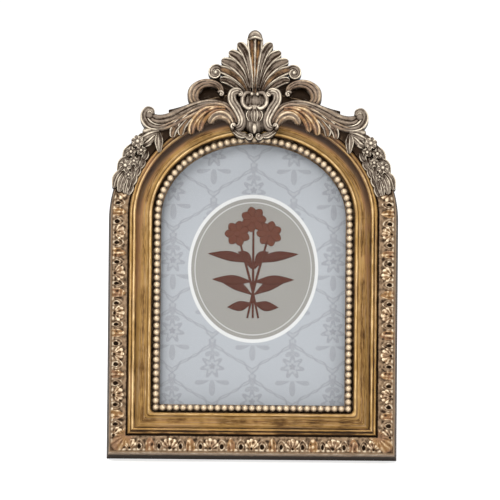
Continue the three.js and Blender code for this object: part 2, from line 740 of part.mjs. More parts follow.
// Front castings
const casting = moulding(BORDER_STATIONS, castingProfile);
const spray = sprayGeometry();
frame.add(
  piece("outer_casting", cut(casting, pivots.map(({ x, y }) => screwBore(x, y))), CHAMPAGNE),
  piece("scoop_liner", moulding(PLAIN_STATIONS, linerProfile), GOLD),
  piece("pearl_course", moulding(beadStations(), beadProfile), PEARL),
  piece("crest", crestGeometry(), CHAMPAGNE),
  piece("shoulder_spray_right", spray, CHAMPAGNE),
  piece("shoulder_spray_left", mirrored(spray), CHAMPAGNE),
);

// Picture pack in the rabbet, from the lip backwards
const glassZ = RABBET_DEPTH - GAP - GLASS_T;
const cardZ = glassZ - GAP - CARD_T;
frame.add(
  piece("glass_pane", slab(archShape(LIP - GAP), glassZ, glassZ + GLASS_T), GLASS),
  piece("photo_card", slab(archShape(LIP - GAP), cardZ, cardZ + CARD_T), CARD),
  piece("backing_board", boardGeometry(), BOARD),
);

// Turn buttons and their screws
for (const { name, x, y, turn } of pivots) {
  const button = piece(`turn_button_${name}`, buttonGeometry(), STEEL);
  button.position.set(x, y, 0);
  button.rotation.z = rad(turn);
  const screw = piece(`turn_screw_${name}`, screwGeometry(), STEEL);
  screw.position.set(x, y, 0);
  frame.add(button, screw);
}

// Hanger
const hanger = piece("sawtooth_hanger", hangerGeometry(), STEEL);
hanger.position.y = HANGER_Y;
frame.add(hanger);
const nailEnd = BOARD_T - 2 * GAP;
for (const [name, x] of [["left", -NAIL_X], ["right", NAIL_X]]) {
  const nailGeometry = rivetGeometry(NAIL_HEAD_Z, nailEnd, NAIL_R, NAIL_HEAD_R, NAIL_HEAD_T);
  const nail = piece(`hanger_nail_${name}`, nailGeometry, STEEL);
  nail.position.set(x, HANGER_Y + HANGER_H / 2, 0);
  frame.add(nail);
}

// Hinge on the board
const hinge = new THREE.Group();
hinge.position.set(0, PIN_Y, PIN_Z);
hinge.add(piece("hinge_board_leaf", boardLeafGeometry(), STEEL));
hinge.add(piece("hinge_pin", hingePinGeometry(), STEEL));
const boardRivetHead = -GAP - LEAF_T - GAP / 2 - PIN_Z;
const boardRivetEnd = BOARD_T - GAP - PIN_Z;

// Easel leg, swung open about the pin
const leg = new THREE.Group();
leg.position.copy(hinge.position);
leg.rotation.x = rad(OPEN_DEG);
leg.add(piece("easel_leg", legGeometry(), BOARD), piece("hinge_leg_leaf", legLeafGeometry(), STEEL));
const legRivetHead = LEG_LEAF_IN - LEAF_T - GAP / 2;
const legRivetEnd = LEG_IN - GAP;
for (const [name, x] of [["left", -RIVET_X], ["right", RIVET_X]]) {
  const boardRivet = rivetGeometry(boardRivetHead, boardRivetEnd, RIVET_R, RIVET_HEAD_R, RIVET_HEAD_T);
  const legRivet = rivetGeometry(legRivetHead, legRivetEnd, RIVET_R, RIVET_HEAD_R, RIVET_HEAD_T);
  hinge.add(piece(`board_rivet_${name}`, boardRivet.translate(x, RIVET_SETBACK, 0), STEEL));
  leg.add(piece(`leg_rivet_${name}`, legRivet.translate(x, -RIVET_SETBACK, 0), STEEL));
}
frame.add(hinge, leg);

// Lean the frame back on its rear lower edge, and put the middle of the box round it over the origin
frame.rotation.x = Math.PI / 2 - rad(LEAN_DEG);
const object = new THREE.Group();
object.add(frame);
object.updateMatrixWorld(true);
const box = new THREE.Box3().setFromObject(object, true);
frame.position.set(0, -(box.min.y + box.max.y) / 2, -box.min.z);
object.updateMatrixWorld(true);

export default object;
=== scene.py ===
"""Looks for the arched resin photo frame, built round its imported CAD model."""
from functools import partial, partialmethod
import json
import math
from types import SimpleNamespace

import bpy
import numpy as np
from mathutils import Matrix, Vector


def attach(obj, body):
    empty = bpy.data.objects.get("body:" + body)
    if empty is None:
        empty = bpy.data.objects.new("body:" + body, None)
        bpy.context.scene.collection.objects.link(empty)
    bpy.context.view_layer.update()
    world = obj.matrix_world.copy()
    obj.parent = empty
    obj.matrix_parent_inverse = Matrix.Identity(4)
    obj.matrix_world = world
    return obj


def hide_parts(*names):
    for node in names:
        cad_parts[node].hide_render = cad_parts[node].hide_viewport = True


bl_info = {
    "name": "Arched Resin Photo Frame",
    "version": (1, 0, 0),
    "blender": (4, 5, 0),
    "location": "View3D > Sidebar > Photo Frame",
    "description": "Carved, gilded and glazed pieces of an arched photo frame on its easel leg",
    "category": "Object",
}

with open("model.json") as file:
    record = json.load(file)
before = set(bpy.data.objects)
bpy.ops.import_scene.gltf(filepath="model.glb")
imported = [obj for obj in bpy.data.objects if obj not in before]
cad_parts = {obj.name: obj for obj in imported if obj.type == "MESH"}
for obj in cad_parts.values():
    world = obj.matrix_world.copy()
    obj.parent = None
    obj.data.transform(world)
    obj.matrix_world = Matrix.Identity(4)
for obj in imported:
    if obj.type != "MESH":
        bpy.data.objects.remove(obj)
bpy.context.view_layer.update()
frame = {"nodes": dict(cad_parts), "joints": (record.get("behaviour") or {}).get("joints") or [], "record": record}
RECORD = frame["record"]
NODES = frame["nodes"]
ROOT = "frame_body"
MM = 0.001

# The frame's own axes: x to the right, up its face, and out of its face, from its rear lower edge
REAR_EDGE = np.array(next(m["pos_m"] for m in RECORD["mounts"] if m["name"] == "rear_lower_edge"))
OUTWARD = np.array(next(j["axis"] for j in frame["joints"] if j.get("continuous")))
OUTWARD = OUTWARD / np.linalg.norm(OUTWARD)
RIGHTWARD = np.array([1.0, 0.0, 0.0])
UPWARD = np.cross(OUTWARD, RIGHTWARD)
TAU = 2 * math.pi


def stand(points):
    """Millimetres on the frame's own axes, taken to metres in the shared frame."""
    return REAR_EDGE + MM * (points @ np.array([RIGHTWARD, UPWARD, OUTWARD]))


# Sizes and colours that a user would change
def length(name, description, default):
    """A size in millimetres, kept in metres."""
    return bpy.props.FloatProperty(
        name=name, description=description, default=default * MM, unit="LENGTH", precision=5)


def colour(name, description, red, green, blue):
    """A colour given as it shows on a screen, 0 to 255, kept as light."""
    light = [((c / 255 + 0.055) / 1.055) ** 2.4 if c > 10 else c / 255 / 12.92 for c in (red, green, blue)]
    return bpy.props.FloatVectorProperty(
        name=name, description=description, default=(*light, 1), size=4, subtype="COLOR", min=0, max=1)


class MouldingSizes(bpy.types.PropertyGroup):
    """Lines and heights of the moulding, as in the CAD model."""
    sight_half: length("Sight half width", "From the middle to the sight edge", 29.9)
    sight_low: length("Sight bottom", "From the rear lower edge up to the sight edge", 17.05)
    spring: length("Spring line", "Where the sides turn into the arch", 78.05)
    arch_rise: length("Arch rise", "From the spring line to the crown of the sight edge", 24.2)
    face: length("Face", "Width of the moulding at the rear face", 17.05)
    draft: length("Draft", "How far the side wall leans in", 0.9)
    lip: length("Lip", "How far the rabbet lies behind the sight edge", 1.85)
    groove: length("Groove", "Inner edge of the carved border", 10.7)
    ledge: length("Ledge", "Height of the ledge that carries the liner", 7.5)
    rim_height: length("Rim height", "Height of the plain outer rim", 11.2)
    border_height: length("Border height", "Height of the carved border's crown", 13.5)
    motif_pitch: length("Motif pitch", "Length of one repeat of the carving", 13.2)
    pearl: length("Pearl", "Diameter of one pearl", 2.14)
    pearl_pitch: length("Pearl pitch", "From pearl to pearl", 2.22)


class FinishColours(bpy.types.PropertyGroup):
    """Colours of the rubbed and brushed finishes."""
    champagne: colour("Champagne", "Rubbed silver on the ridges", 214, 201, 180)
    taupe: colour("Taupe", "Body of the champagne finish", 144, 120, 95)
    ash: colour("Ash", "Body of the champagne finish on the ornament", 134, 121, 108)
    # Umber is also painted shade: in the crevices, on the backing behind the crest and under the frame
    umber: colour("Umber", "Dark wax left in the hollows", 46, 33, 22)
    copper: colour("Copper", "Warm bole showing through", 138, 98, 70)
    gold: colour("Gold", "Brushed antique gold", 150, 117, 67)
    pale_gold: colour("Pale gold", "Gold where it is rubbed bright", 216, 184, 134)
    old_gold: colour("Old gold", "Gold dulled by wax", 98, 68, 34)
    # Smoke is painted shade: grey over the upper cove of the gold, where it faces down
    smoke: colour("Smoke", "Grey wax in the upper hollow of the gold", 66, 54, 47)
    pearl: colour("Pearl", "Rubbed tops of the pearls", 206, 184, 152)
    card: colour("Card", "Ground of the printed card", 170, 174, 179)
    card_print: colour("Card print", "Tone of the printed pattern", 138, 139, 143)
    card_line: colour("Card line", "Lines round the oval", 212, 213, 212)
    medallion: colour("Medallion", "Ground of the oval", 146, 144, 139)
    sprig: colour("Sprig", "Stems and leaves of the printed posy", 80, 44, 33)
    blush: colour("Blush", "Flowers of the printed posy", 96, 56, 42)
    flock: colour("Flock", "Flocked board", 30, 28, 27)
    steel: colour("Steel", "Plated hardware", 176, 172, 164)


# Surfaces
def spread(low, high, count):
    """Evenly spaced values, both ends included."""
    return np.linspace(low, high, count)


def ease(value, low, high):
    """0 below low, 1 above high, and a smooth step between."""
    part = np.clip((value - low) / (high - low), 0, 1)
    return part * part * (3 - 2 * part)


def closed_grid(points, marks, looped=False):
    """A closed body from a grid of rings, which join into a loop, or else a fan closes each end ring."""
    rows, columns = points.shape[:2]
    flat = points.reshape(-1, 3)
    row = np.arange(rows if looped else rows - 1)[:, None]
    ring = np.arange(columns)
    after, above = (ring + 1) % columns, (row + 1) % rows * columns
    corners = [row * columns + ring, above + ring, above + after, row * columns + after]
    quads = np.stack([corner.ravel() for corner in corners], axis=1)
    triangles = np.zeros((0, 3), int)
    marks = {key: np.broadcast_to(value, (rows, columns)).ravel() for key, value in marks.items()}
    if not looped:
        last = (rows - 1) * columns
        middle = np.full(columns, rows * columns)
        fans = [[ring, after, middle], [last + after, last + ring, middle + 1]]
        triangles = np.concatenate(fans, axis=1).T
        flat = np.concatenate([flat, points[[0, -1]].mean(axis=1)])
        marks = {key: np.append(value, [value[0], value[-1]]) for key, value in marks.items()}
    return outward({"points": flat, "quads": quads, "triangles": triangles, "marks": marks})


def grid(x, y, height):
    """Points of a grid, from its three coordinates."""
    return np.stack(np.broadcast_arrays(x, y, height), axis=2).astype(float)


def outward(body):
    """Turns the faces of a closed body outwards: its volume, summed over its faces, has to be positive."""
    quads, triangles, points = body["quads"], body["triangles"], body["points"]
    fans = np.concatenate([quads[:, [0, 1, 2]], quads[:, [0, 2, 3]], triangles])
    a, b, c = (points[fans[:, i]] for i in range(3))
    if np.einsum("ij,ij->", a, np.cross(b, c)) < 0:
        body["quads"], body["triangles"] = quads[:, ::-1], triangles[:, ::-1]
    return body


def mirrored(body):
    """The same body on the other side of the frame's middle."""
    twin = dict(body)
    twin["points"] = body["points"] * np.array([-1, 1, 1])
    return outward(twin)


def gather(bodies):
    """Several bodies as one."""
    starts = np.cumsum([0] + [len(b["points"]) for b in bodies[:-1]])
    keys = bodies[0]["marks"]
    return {
        "points": np.concatenate([b["points"] for b in bodies]),
        "quads": np.concatenate([b["quads"] + s for b, s in zip(bodies, starts)]),
        "triangles": np.concatenate([b["triangles"] + s for b, s in zip(bodies, starts)]),
        "marks": {key: np.concatenate([b["marks"][key] for b in bodies]) for key in keys},
    }


def put(name, data):
    """An object in the scene that holds the data."""
    holder = bpy.data.objects.new(name, data)
    bpy.context.scene.collection.objects.link(holder)
    return holder


def make_piece(name, body, material, replaced):
    """Makes a mesh of a body, its marks as attributes, that rides in place of the nodes it stands for."""
    mesh = bpy.data.meshes.new(name)
    points = stand(body["points"])
    quads, triangles = body["quads"], body["triangles"]
    loops = np.concatenate([quads.ravel(), triangles.ravel()])
    starts = np.concatenate([np.arange(len(quads)) * 4, len(quads) * 4 + np.arange(len(triangles)) * 3])
    mesh.vertices.add(len(points))
    mesh.vertices.foreach_set("co", points.astype(np.float32).ravel())
    mesh.loops.add(len(loops))
    mesh.loops.foreach_set("vertex_index", loops.astype(np.int32))
    mesh.polygons.add(len(starts))
    mesh.polygons.foreach_set("loop_start", starts.astype(np.int32))
    mesh.polygons.foreach_set("use_smooth", np.ones(len(starts), bool))
    for key, values in body["marks"].items():
        mesh.attributes.new(key, "FLOAT", "POINT").data.foreach_set("value", values.astype(np.float32))
    mesh.update(calc_edges=True)
    if mesh.validate():
        raise RuntimeError(f"{name} has broken faces")
    mesh.materials.append(material)
    piece = put(name, mesh)
    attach(piece, ROOT)
    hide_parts(*replaced)


# Shader maths
class Signal:
    """A socket in a node tree, with the arithmetic that the finishes use. An operation adds a Math node."""

    def __init__(self, finish, socket):
        self.finish, self.socket = finish, socket

    def math(self, operation, *others):
        """A Math node of that operation on this value and the others."""
        return self.finish.node("ShaderNodeMath", {"operation": operation}, dict(enumerate((self, *others))))

    __add__ = __radd__ = partialmethod(math, "ADD")
    __sub__ = partialmethod(math, "SUBTRACT")
    __mul__ = __rmul__ = partialmethod(math, "MULTIPLY")
    __truediv__ = partialmethod(math, "DIVIDE")
    __pow__ = partialmethod(math, "POWER")

    def __rsub__(self, other):
        return self * -1 + other

    def step(self, low, high):
        """0 below low, 1 above high, and a smooth step between."""
        settings = {"interpolation_type": "SMOOTHSTEP"}
        return self.finish.node("ShaderNodeMapRange", settings, {0: self, 1: low, 2: high, 3: 0.0, 4: 1.0})


class NodeMaker:
    """Makes and links the nodes of one tree."""

    def __init__(self, tree):
        self.tree = tree

    def node(self, kind, settings, inputs, output=0):
        """A node of that kind, with its settings and what its sockets take, as one of its outputs."""
        made = self.tree.nodes.new(kind)
        for key, value in settings.items():
            setattr(made, key, value)
        for key, value in inputs.items():
            self.feed(made.inputs[key], value)
        return Signal(self, made.outputs[output])

    def feed(self, socket, value):
        """Links a signal to a socket, or sets its value."""
        if isinstance(value, Signal):
            self.tree.links.new(value.socket, socket)
        else:
            socket.default_value = value

    def mark(self, name):
        """A mark of the piece's own mesh."""
        return self.node("ShaderNodeAttribute", {"attribute_name": name}, {}, "Fac")

    def place(self):
        """Object coordinates, in metres."""
        return self.node("ShaderNodeTexCoord", {}, {}, "Object")

    def noise(self, per_metre, detail=3.0, at=None):
        """Noise about 0.5 with that many features in a metre, or in a unit of the place it is read at."""
        inputs = {"Vector": at or self.place(), "Scale": per_metre, "Detail": detail, "Roughness": 0.6}
        return self.node("ShaderNodeTexNoise", {}, inputs)

    def at(self, x, y, z=0.0):
        """Three values as a place."""
        return self.node("ShaderNodeCombineXYZ", {}, {0: x, 1: y, 2: z})

    def mix(self, part, one, two):
        """A colour between one and two."""
        return self.node("ShaderNodeMix", {"data_type": "RGBA"}, {0: part, 6: one, 7: two}, 2)

    def ray(self, kind):
        """1 for rays of that kind, 0 for others."""
        return self.node("ShaderNodeLightPath", {}, {}, f"Is {kind} Ray")

    def backdrop_seen(self):
        """1 where the backdrop is looked at, also in a gloss or through glass, 0 where it gives light."""
        in_gloss, through_glass = self.ray("Glossy"), self.ray("Transmission")
        return self.ray("Camera").math("MAXIMUM", in_gloss).math("MAXIMUM", through_glass)


class Finish(NodeMaker):
    """A material on one Principled shader, whose sockets are named with underscores for spaces."""

    def __init__(self, name, **constants):
        self.material = bpy.data.materials.new(name)
        self.material.use_nodes = True
        super().__init__(self.material.node_tree)
        self.shader = self.tree.nodes["Principled BSDF"]
        self.dress(**constants)

    def dress(self, **inputs):
        """Feeds the shader's sockets."""
        for socket, value in inputs.items():
            self.feed(self.shader.inputs[socket.replace("_", " ")], value)

    def bump(self, height, strength, depth):
        """Fine unevenness of that depth in metres."""
        inputs = {"Height": height, "Strength": strength, "Distance": depth}
        self.dress(Normal=self.node("ShaderNodeBump", {}, inputs))


def sizes():
    """The moulding's sizes in millimetres."""
    group = bpy.context.scene.moulding_sizes
    return SimpleNamespace(**{key: getattr(group, key) / MM for key in MouldingSizes.__annotations__})


def hues():
    """The finish colours."""
    group = bpy.context.scene.finish_colours
    return SimpleNamespace(**{key: tuple(getattr(group, key)) for key in FinishColours.__annotations__})


def rubbed_champagne(name, body_hue, wax, streaked):
    """Champagne silver rubbed over dark wax.

    The relief mark takes it from hollow to ridge, and the gilt mark takes it to copper and gold. In crevices
    ambient occlusion darkens it by the share of wax: dark wax there, and painted shade. Streaks run along the
    leaves.
    """
    hue = hues()
    look = Finish(name, Specular_IOR_Level=0.05)
    relief, gilt = look.mark("relief"), look.mark("gilt")
    cloud, grain = look.noise(260.0), look.noise(1700.0, 2.0)
    # Ambient occlusion darkens the crevices: dark wax there, and painted shade
    crevice_wax_and_shade = look.node("ShaderNodeAmbientOcclusion", {"samples": 8}, {"Distance": 0.0026}, "AO")
    worn_and_shaded = relief * (1.1 - wax + crevice_wax_and_shade ** 1.4 * wax)
    patina = look.noise(760.0, 4.0)
    streak = look.noise(1.0, 3.0, look.at(look.mark("along") * 0.2, look.mark("across") * 1.7))
    mottle = (cloud - 0.5) * 0.5 + (patina - 0.5) * 0.6 + (grain - 0.5) * 0.3
    tone = worn_and_shaded + 0.03 + mottle + (streak - 0.5) * streaked
    warm = look.mix(cloud.step(0.38, 0.6) * 0.5, hue.copper, hue.gold)
    body = look.mix((gilt * (cloud + 0.55)).step(0.2, 0.9), getattr(hue, body_hue), warm)
    low = look.mix(tone.step(0.08, 0.5), hue.umber, body)
    bright = look.mix(gilt * 0.8, hue.champagne, hue.pale_gold)
    look.dress(Base_Color=look.mix(tone.step(0.55, 0.98), low, bright))
    look.dress(Roughness=0.6 - worn_and_shaded * 0.3, Metallic=tone.step(0.2, 1.0) * 0.4)
    look.bump(grain * 0.6 + patina + cloud * 0.6, 0.4, 0.0002)
    return look.material


def brushed_gold(name):
    """Old gold brushed along the moulding: streaks follow the along mark, and wax dulls it in patches."""
    hue = hues()
    look = Finish(name, Specular_IOR_Level=0.05)
    along, across, relief = look.mark("along"), look.mark("across"), look.mark("relief")
    streak = look.noise(1.0, 4.0, look.at(along * 0.12, across * 3.4))
    fine = look.noise(1.0, 2.0, look.at(along * 0.45, across * 9.0))
    patch = look.noise(110.0, 3.0)
    tone = relief + (streak - 0.5) * 1.3 + (fine - 0.5) * 0.9 + (patch - 0.5) * 0.9
    stain = look.noise(1.0, 3.0, look.at(along * 0.05, across * 1.9))
    dull = look.mix(patch.step(0.5, 0.68) * 0.7, hue.old_gold, hue.copper)
    low = look.mix(tone.step(0.0, 0.34), hue.umber, dull)
    leafed = look.mix(stain.step(0.48, 0.62) * 0.55, hue.gold, hue.taupe)
    body = look.mix(tone.step(0.24, 0.6), low, leafed)
    bright = look.mix(tone.step(0.72, 1.2), body, hue.pale_gold)
    # Painted shade: the smoke mark turns the gold grey over the upper cove, with copper in patches at its edge
    smoke = look.mark("smoke") * (0.65 + patch * 0.6)
    ember = look.mix(smoke.step(0.02, 0.35) * patch.step(0.35, 0.6) * 0.7, bright, hue.copper)
    look.dress(Base_Color=look.mix(smoke.step(0.15, 0.95), ember, hue.smoke))
    look.dress(Roughness=0.42 - relief * 0.08 + (streak - 0.5) * 0.25, Metallic=tone.step(0.0, 0.9) * 0.4)
    look.bump(streak + fine * 0.6, 0.3, 0.00012)
    return look.material


def rubbed_pearl(name):
    """Pearls rubbed bright on top, with wax left where they meet the ledge."""
    hue = hues()
    look = Finish(name, Metallic=0.25, Specular_IOR_Level=0.6)
    relief, cloud = look.mark("relief"), look.noise(420.0)
    tone = relief + (cloud - 0.5) * 0.4
    low = look.mix(tone.step(0.35, 0.72), hue.umber, hue.taupe)
    look.dress(Base_Color=look.mix(tone.step(0.62, 1.0), low, hue.pearl), Roughness=0.42 - tone * 0.16)
    look.bump(look.noise(2400.0), 0.15, 0.00006)
    return look.material


# Moulding lines: every one is a rectangle under an elliptical arch, grown outwards from the sight edge
def rounding(radius, past):
    """How far a corner arc has left its straight, that far past the start of the arc."""
    return radius - np.sqrt(np.clip(radius ** 2 - np.clip(past, 0, None) ** 2, 0, None))


def loop_line(size, out, run, along, radius=0.0):
    """Points of the line at `out`.

    Run 0 goes along the bottom, 1 up the right side, 2 over the arch, half an ellipse, and 3 down the left
    side. Bottom and sides meet halfway round a corner arc of that radius.
    """
    half = size.sight_half + out
    low = size.sight_low - out
    spring = size.spring
    turn = math.pi * along
    meet = radius * (1 - math.sqrt(0.5))
    level = (2 * along - 1) * (half - meet)
    rise = low + meet + (spring - low - meet) * np.where(run == 3, 1 - along, along)
    sag = rounding(radius, np.abs(level) - half + radius)
    tuck = rounding(radius, low + radius - rise)
    x = np.select([run == 0, run == 1, run == 2], [level, half - tuck, half * np.cos(turn)], tuck - half)
    y = np.select([run == 0, run == 2], [low + sag, spring + (size.arch_rise + out) * np.sin(turn)], rise)
    return x, y


ARCH_CROWDING = 0.85


def stations(bottom, side, arch, crowded=False, crowded_arch=False):
    """Runs and places along them, with that many steps on the bottom, on each side and over the arch.

    Crowded steps draw together towards the ends of a run, as a cosine, or as a sine over the arch.
    """
    counts = (bottom, side, arch, side)
    run = np.repeat(np.arange(4), counts)
    along = np.concatenate([np.arange(count) / count for count in counts])
    if crowded:
        along = np.where(run == 2, along, 0.5 - 0.5 * np.cos(math.pi * along))
    if crowded_arch:
        along = np.where(run == 2, along - ARCH_CROWDING * np.sin(TAU * along) / TAU, along)
    return run[:, None], along[:, None]


def sweep(size, run, along, out, height, marks, radius=0.0):
    """A closed body: the profile (out, height), carried round the moulding line."""
    x, y = loop_line(size, out, run, along, radius)
    return closed_grid(grid(x, y, height), marks, looped=True)


def blurred(field, reach):
    """A field averaged over a square of 2 reach + 1 samples, its edges repeated."""
    kernel = np.ones(2 * reach + 1) / (2 * reach + 1)
    for axis in (0, 1):
        width = [(reach, reach) if a == axis else (0, 0) for a in (0, 1)]
        padded = np.pad(field, width, mode="edge")
        field = np.apply_along_axis(lambda line: np.convolve(line, kernel, "valid"), axis, padded)
    return field


# Carved border: one repeat, in millimetres along it from the shell's middle and across it from the groove
SHELL_BASE = 4.5
SHELL_REACH = 3.8
SHELL_RIBS = 5
SHELL_SPREAD = math.radians(68)
EYE_PLACE = 3.45
EYE_ACROSS = 3.6
EYE_HALF_WIDTH = 0.5
EYE_HALF_LENGTH = 0.8
TONGUE_HALF_WIDTH = 1.5
TONGUE_PLACE = 6.6
SEED_ACROSS = 4.15
SIDE_PHASE = 6.4
BORDER_TOP = 86.0
LIFT_LIMIT = 0.56
CORNER_RIBS = 8
CORNER_REACH = 6.2
HEM_PITCH = 1.65
HEM_ACROSS = 4.6
HEM_HALF_WIDTH = 0.42
HEM_HEIGHT = 0.55
EYE_DEPTH = 0.95
SEED_DEPTH = 0.6


def carving(place, across):
    """Height and gilding of the border at a place along it, and across it.

    A shell of ribs spreads from its base at the rim to a scalloped edge by the groove: its height follows
    the cosine of the angle about the base. On each side stands a drilled eye in a raised lozenge, with a
    hook round it. Tongues with a soft middle rib part the groups, and a hem of cosine arcs runs along the
    rim. Whichever stands highest shows.
    """
    inward = SHELL_BASE - across
    turn, reach = np.arctan2(place, inward), np.hypot(place, inward)
    rib = np.abs(np.cos(turn * math.pi * SHELL_RIBS / (2 * SHELL_SPREAD)))
    edge = SHELL_REACH * (1 - 0.25 * (turn / SHELL_SPREAD) ** 2) * (0.84 + 0.16 * rib ** 0.5)
    fan = ease(edge - reach, 0.0, 0.22) * ease(SHELL_SPREAD - np.abs(turn), 0.0, 0.1)
    shell = fan * (0.12 + 0.46 * rib ** 0.8 * ease(reach, 0.3, 1.5) + 0.16 * ease(reach / edge, 0.6, 0.95))
    aside, away = np.abs(place) - EYE_PLACE, across - EYE_ACROSS
    ring = (np.abs(aside / EYE_HALF_WIDTH) ** 1.5 + np.abs(away / EYE_HALF_LENGTH) ** 1.5) ** (1 / 1.5)
    rim = 0.5 * np.exp(-((ring - 1.5) / 0.34) ** 2) * (0.55 + 0.45 * ease(np.abs(aside), 0.2, 0.6))
    drilled = ease(1.15 - ring, 0.0, 0.5)
    seed = ease(0.75 - np.hypot(place / 0.5, (across - SEED_ACROSS) / 0.75), 0.0, 0.4)
    apart = np.abs(np.abs(place) - TONGUE_PLACE)
    outline = TONGUE_HALF_WIDTH * np.sqrt(np.clip((across - 0.6) / 2.2, 0, 1))
    tongue = ease(outline - apart, 0.0, 0.3)
    leaf = tongue * (0.3 + 0.16 * np.cos(TAU * apart / 1.25) * ease(across, 1.0, 2.6))
    hook = 0.36 * np.exp(-((ring - 2.8) / 0.45) ** 2) * ease(0.9 - away, 0.0, 0.9)
    hem = HEM_HEIGHT * np.abs(np.cos(math.pi * place / HEM_PITCH)) ** 0.8
    hem = hem * np.exp(-((across - HEM_ACROSS) / HEM_HALF_WIDTH) ** 2)
    lift = np.maximum.reduce([shell * ease(ring, 1.4, 1.9), rim, leaf, hook, hem])
    return lift - EYE_DEPTH * drilled - SEED_DEPTH * seed, np.maximum(0.6 * tongue, 0.3 * fan)


def border(size, run, along, out):
    """Height, lift, gilding and carved share of the band between the groove and the plain rim.

    The place along it wanders a little, as a sum of sines, so that no two groups are quite alike. A fan of
    ribs fills each bottom corner, and the carving ends below the arch. The band under it is a low dome.
    """
    x, y = loop_line(size, out, run, along)
    pitch = size.motif_pitch
    place = np.where(run == 0, x, y - SIDE_PHASE)
    place = place + 0.16 * np.sin(place * 0.83 + run) + 0.1 * np.sin(place * 1.9 + 2.0)
    place = (place + pitch / 2) % pitch - pitch / 2
    across = out - size.groove
    lift, gilt = carving(place, across)
    lumpy = np.sin(1.7 * x + 2.3 * y + 1.5 * np.sin(0.9 * y - 1.1 * x))
    lumpy = lumpy + np.sin(2.9 * x - 2.1 * y + 2.0 * np.sin(1.3 * x + 0.7 * y))
    lift = np.minimum(lift * (1 + 0.12 * lumpy) + 0.07 * lumpy, LIFT_LIMIT)
    width = size.face - size.draft - size.groove
    inside = ease(across, 0.05, 0.4) * ease(width - across, 0.2, 0.6)
    mitre = np.abs(np.abs(x) - size.sight_half - (size.sight_low - y))
    cornered = (y < size.sight_low) & (run != 2)
    plain = np.where(cornered, ease(-mitre, -3.4, -2.6), 0.0)
    aside, below = np.abs(x) - size.sight_half - size.groove, size.sight_low - size.groove - y
    fan_turn, fan_reach = np.arctan2(below, aside) - math.pi / 4, np.hypot(aside, below)
    fan = 0.08 + 0.32 * np.abs(np.cos(fan_turn * CORNER_RIBS)) ** 0.8 * ease(fan_reach, 0.8, 2.2)
    lift = lift * (1 - plain) + fan * plain * ease(CORNER_REACH - fan_reach, 0.0, 0.6)
    shown = inside * ease(BORDER_TOP - y, 0.0, 1.5)
    crown = size.border_height - 0.8
    dome = crown - 0.3 * (across / width * 2.2 - 1.1) ** 2 * np.where(across > width / 2, 3.6, 1.0)
    gilt = 0.3 + 0.7 * np.where(plain > 0.5, 0.5, gilt)
    return dome + lift * shown, lift * shown, gilt * shown, shown


# Casting. Tones are relief marks: of rear, rabbet and ledge, of the side wall, and of the wall underneath
RABBET = 5.5
BAND_COLUMNS = 44
BLUR_REACH = 8
GROOVE_TONE = 0.1
RIM_TONE = 0.45
# On the sight edge's wall the tones stay low, as painted shade under the pearls
REAR_TONES = [0.14, 0.14, 0.1, 0.16, 0.3, 0.25]
SIDE_TONES = [0.42, 0.22, 0.12, 0.06, 0.04]
# Underneath, the wall is lighter at its front edge, and behind that it is painted shadow in the darkest umber
UNDER_TONES = [0.6, 0.6, 0.4, -0.5, -0.5]


def casting_body(size):
    """The outer casting: rear, rabbet, ledge, groove wall, carved band, rim and drafted side, swept round.

    On the band the relief mark grows with the lift, and with how far the lift stands over its own blur.
    """
    run, along = stations(440, 380, 300, crowded_arch=True)
    face, groove, draft = size.face, size.groove, size.draft
    band_out = spread(groove, face - draft, BAND_COLUMNS)
    band, lift, gilt, shown = border(size, run, along, band_out)
    band[:, -1] = size.rim_height + 0.25
    before_out = np.array([face - 0.15, size.lip, size.lip, 0, 0, groove - 0.05])
    before_height = np.array([0, 0, RABBET, RABBET, size.ledge, size.ledge])
    after_out = face - draft + np.array([0.08, 0.14, 0.3, draft - 0.2, draft])
    after_height = np.array([size.rim_height + 0.12, size.rim_height - 0.2, 8.5, 2.0, 0.15])
    count = len(run)
    out = np.concatenate([before_out, band_out, after_out])
    height = np.concatenate(
        [np.tile(before_height, (count, 1)), band, np.tile(after_height, (count, 1))], axis=1)
    cavity = lift - blurred(lift, BLUR_REACH)
    near_groove = ease(groove + 1.4 - band_out, 0.0, 0.8)
    tone = 0.14 + 0.18 * shown + 0.44 * np.clip(lift, 0, 1) + 0.7 * cavity + 0.06 * near_groove
    # Over the arch the plain band is painted darker, as the shadow under the crest and the sprays
    tone = np.clip(tone, 0, 1) - np.where(run == 2, 0.16 * (1 - shown), 0)
    tone[:, -3:] = RIM_TONE
    tone[:, :2] = GROOVE_TONE
    shade = np.tile(REAR_TONES, (count, 1))
    wall = np.where(run == 0, UNDER_TONES, SIDE_TONES)
    relief = np.concatenate([shade, tone, wall], axis=1)
    gilt = np.concatenate([shade * 0, gilt, wall * 0], axis=1)
    return sweep(size, run, along, out, height, {"relief": relief, "gilt": gilt})


# Liner profile, in millimetres out from the sight edge and up from the rear face, with its relief mark
ROLL_OUT = 3.55
ROLL_HEIGHT = 9.75
ROLL_RADIUS = 0.65
COVE_END = 8.1
COVE_TOP = 12.2
COVE_DEPTH = 2.75
FILLET = [[8.12, 12.1, 0.05], [8.3, 12.4, 0.6], [8.7, 12.75, 1.1], [9.05, 12.6, 0.6], [9.25, 12.3, 0.1],
          [9.5, 12.45, 0.5], [9.8, 12.55, 0.85], [10.15, 12.35, 0.4], [10.4, 12.0, 0.0]]
LINER_BASE = [[10.4, 7.8, 0.0], [2.9, 7.8, 0.0]]
CORNER_RADIUS = 1.6
STREAK_COLUMN = 20


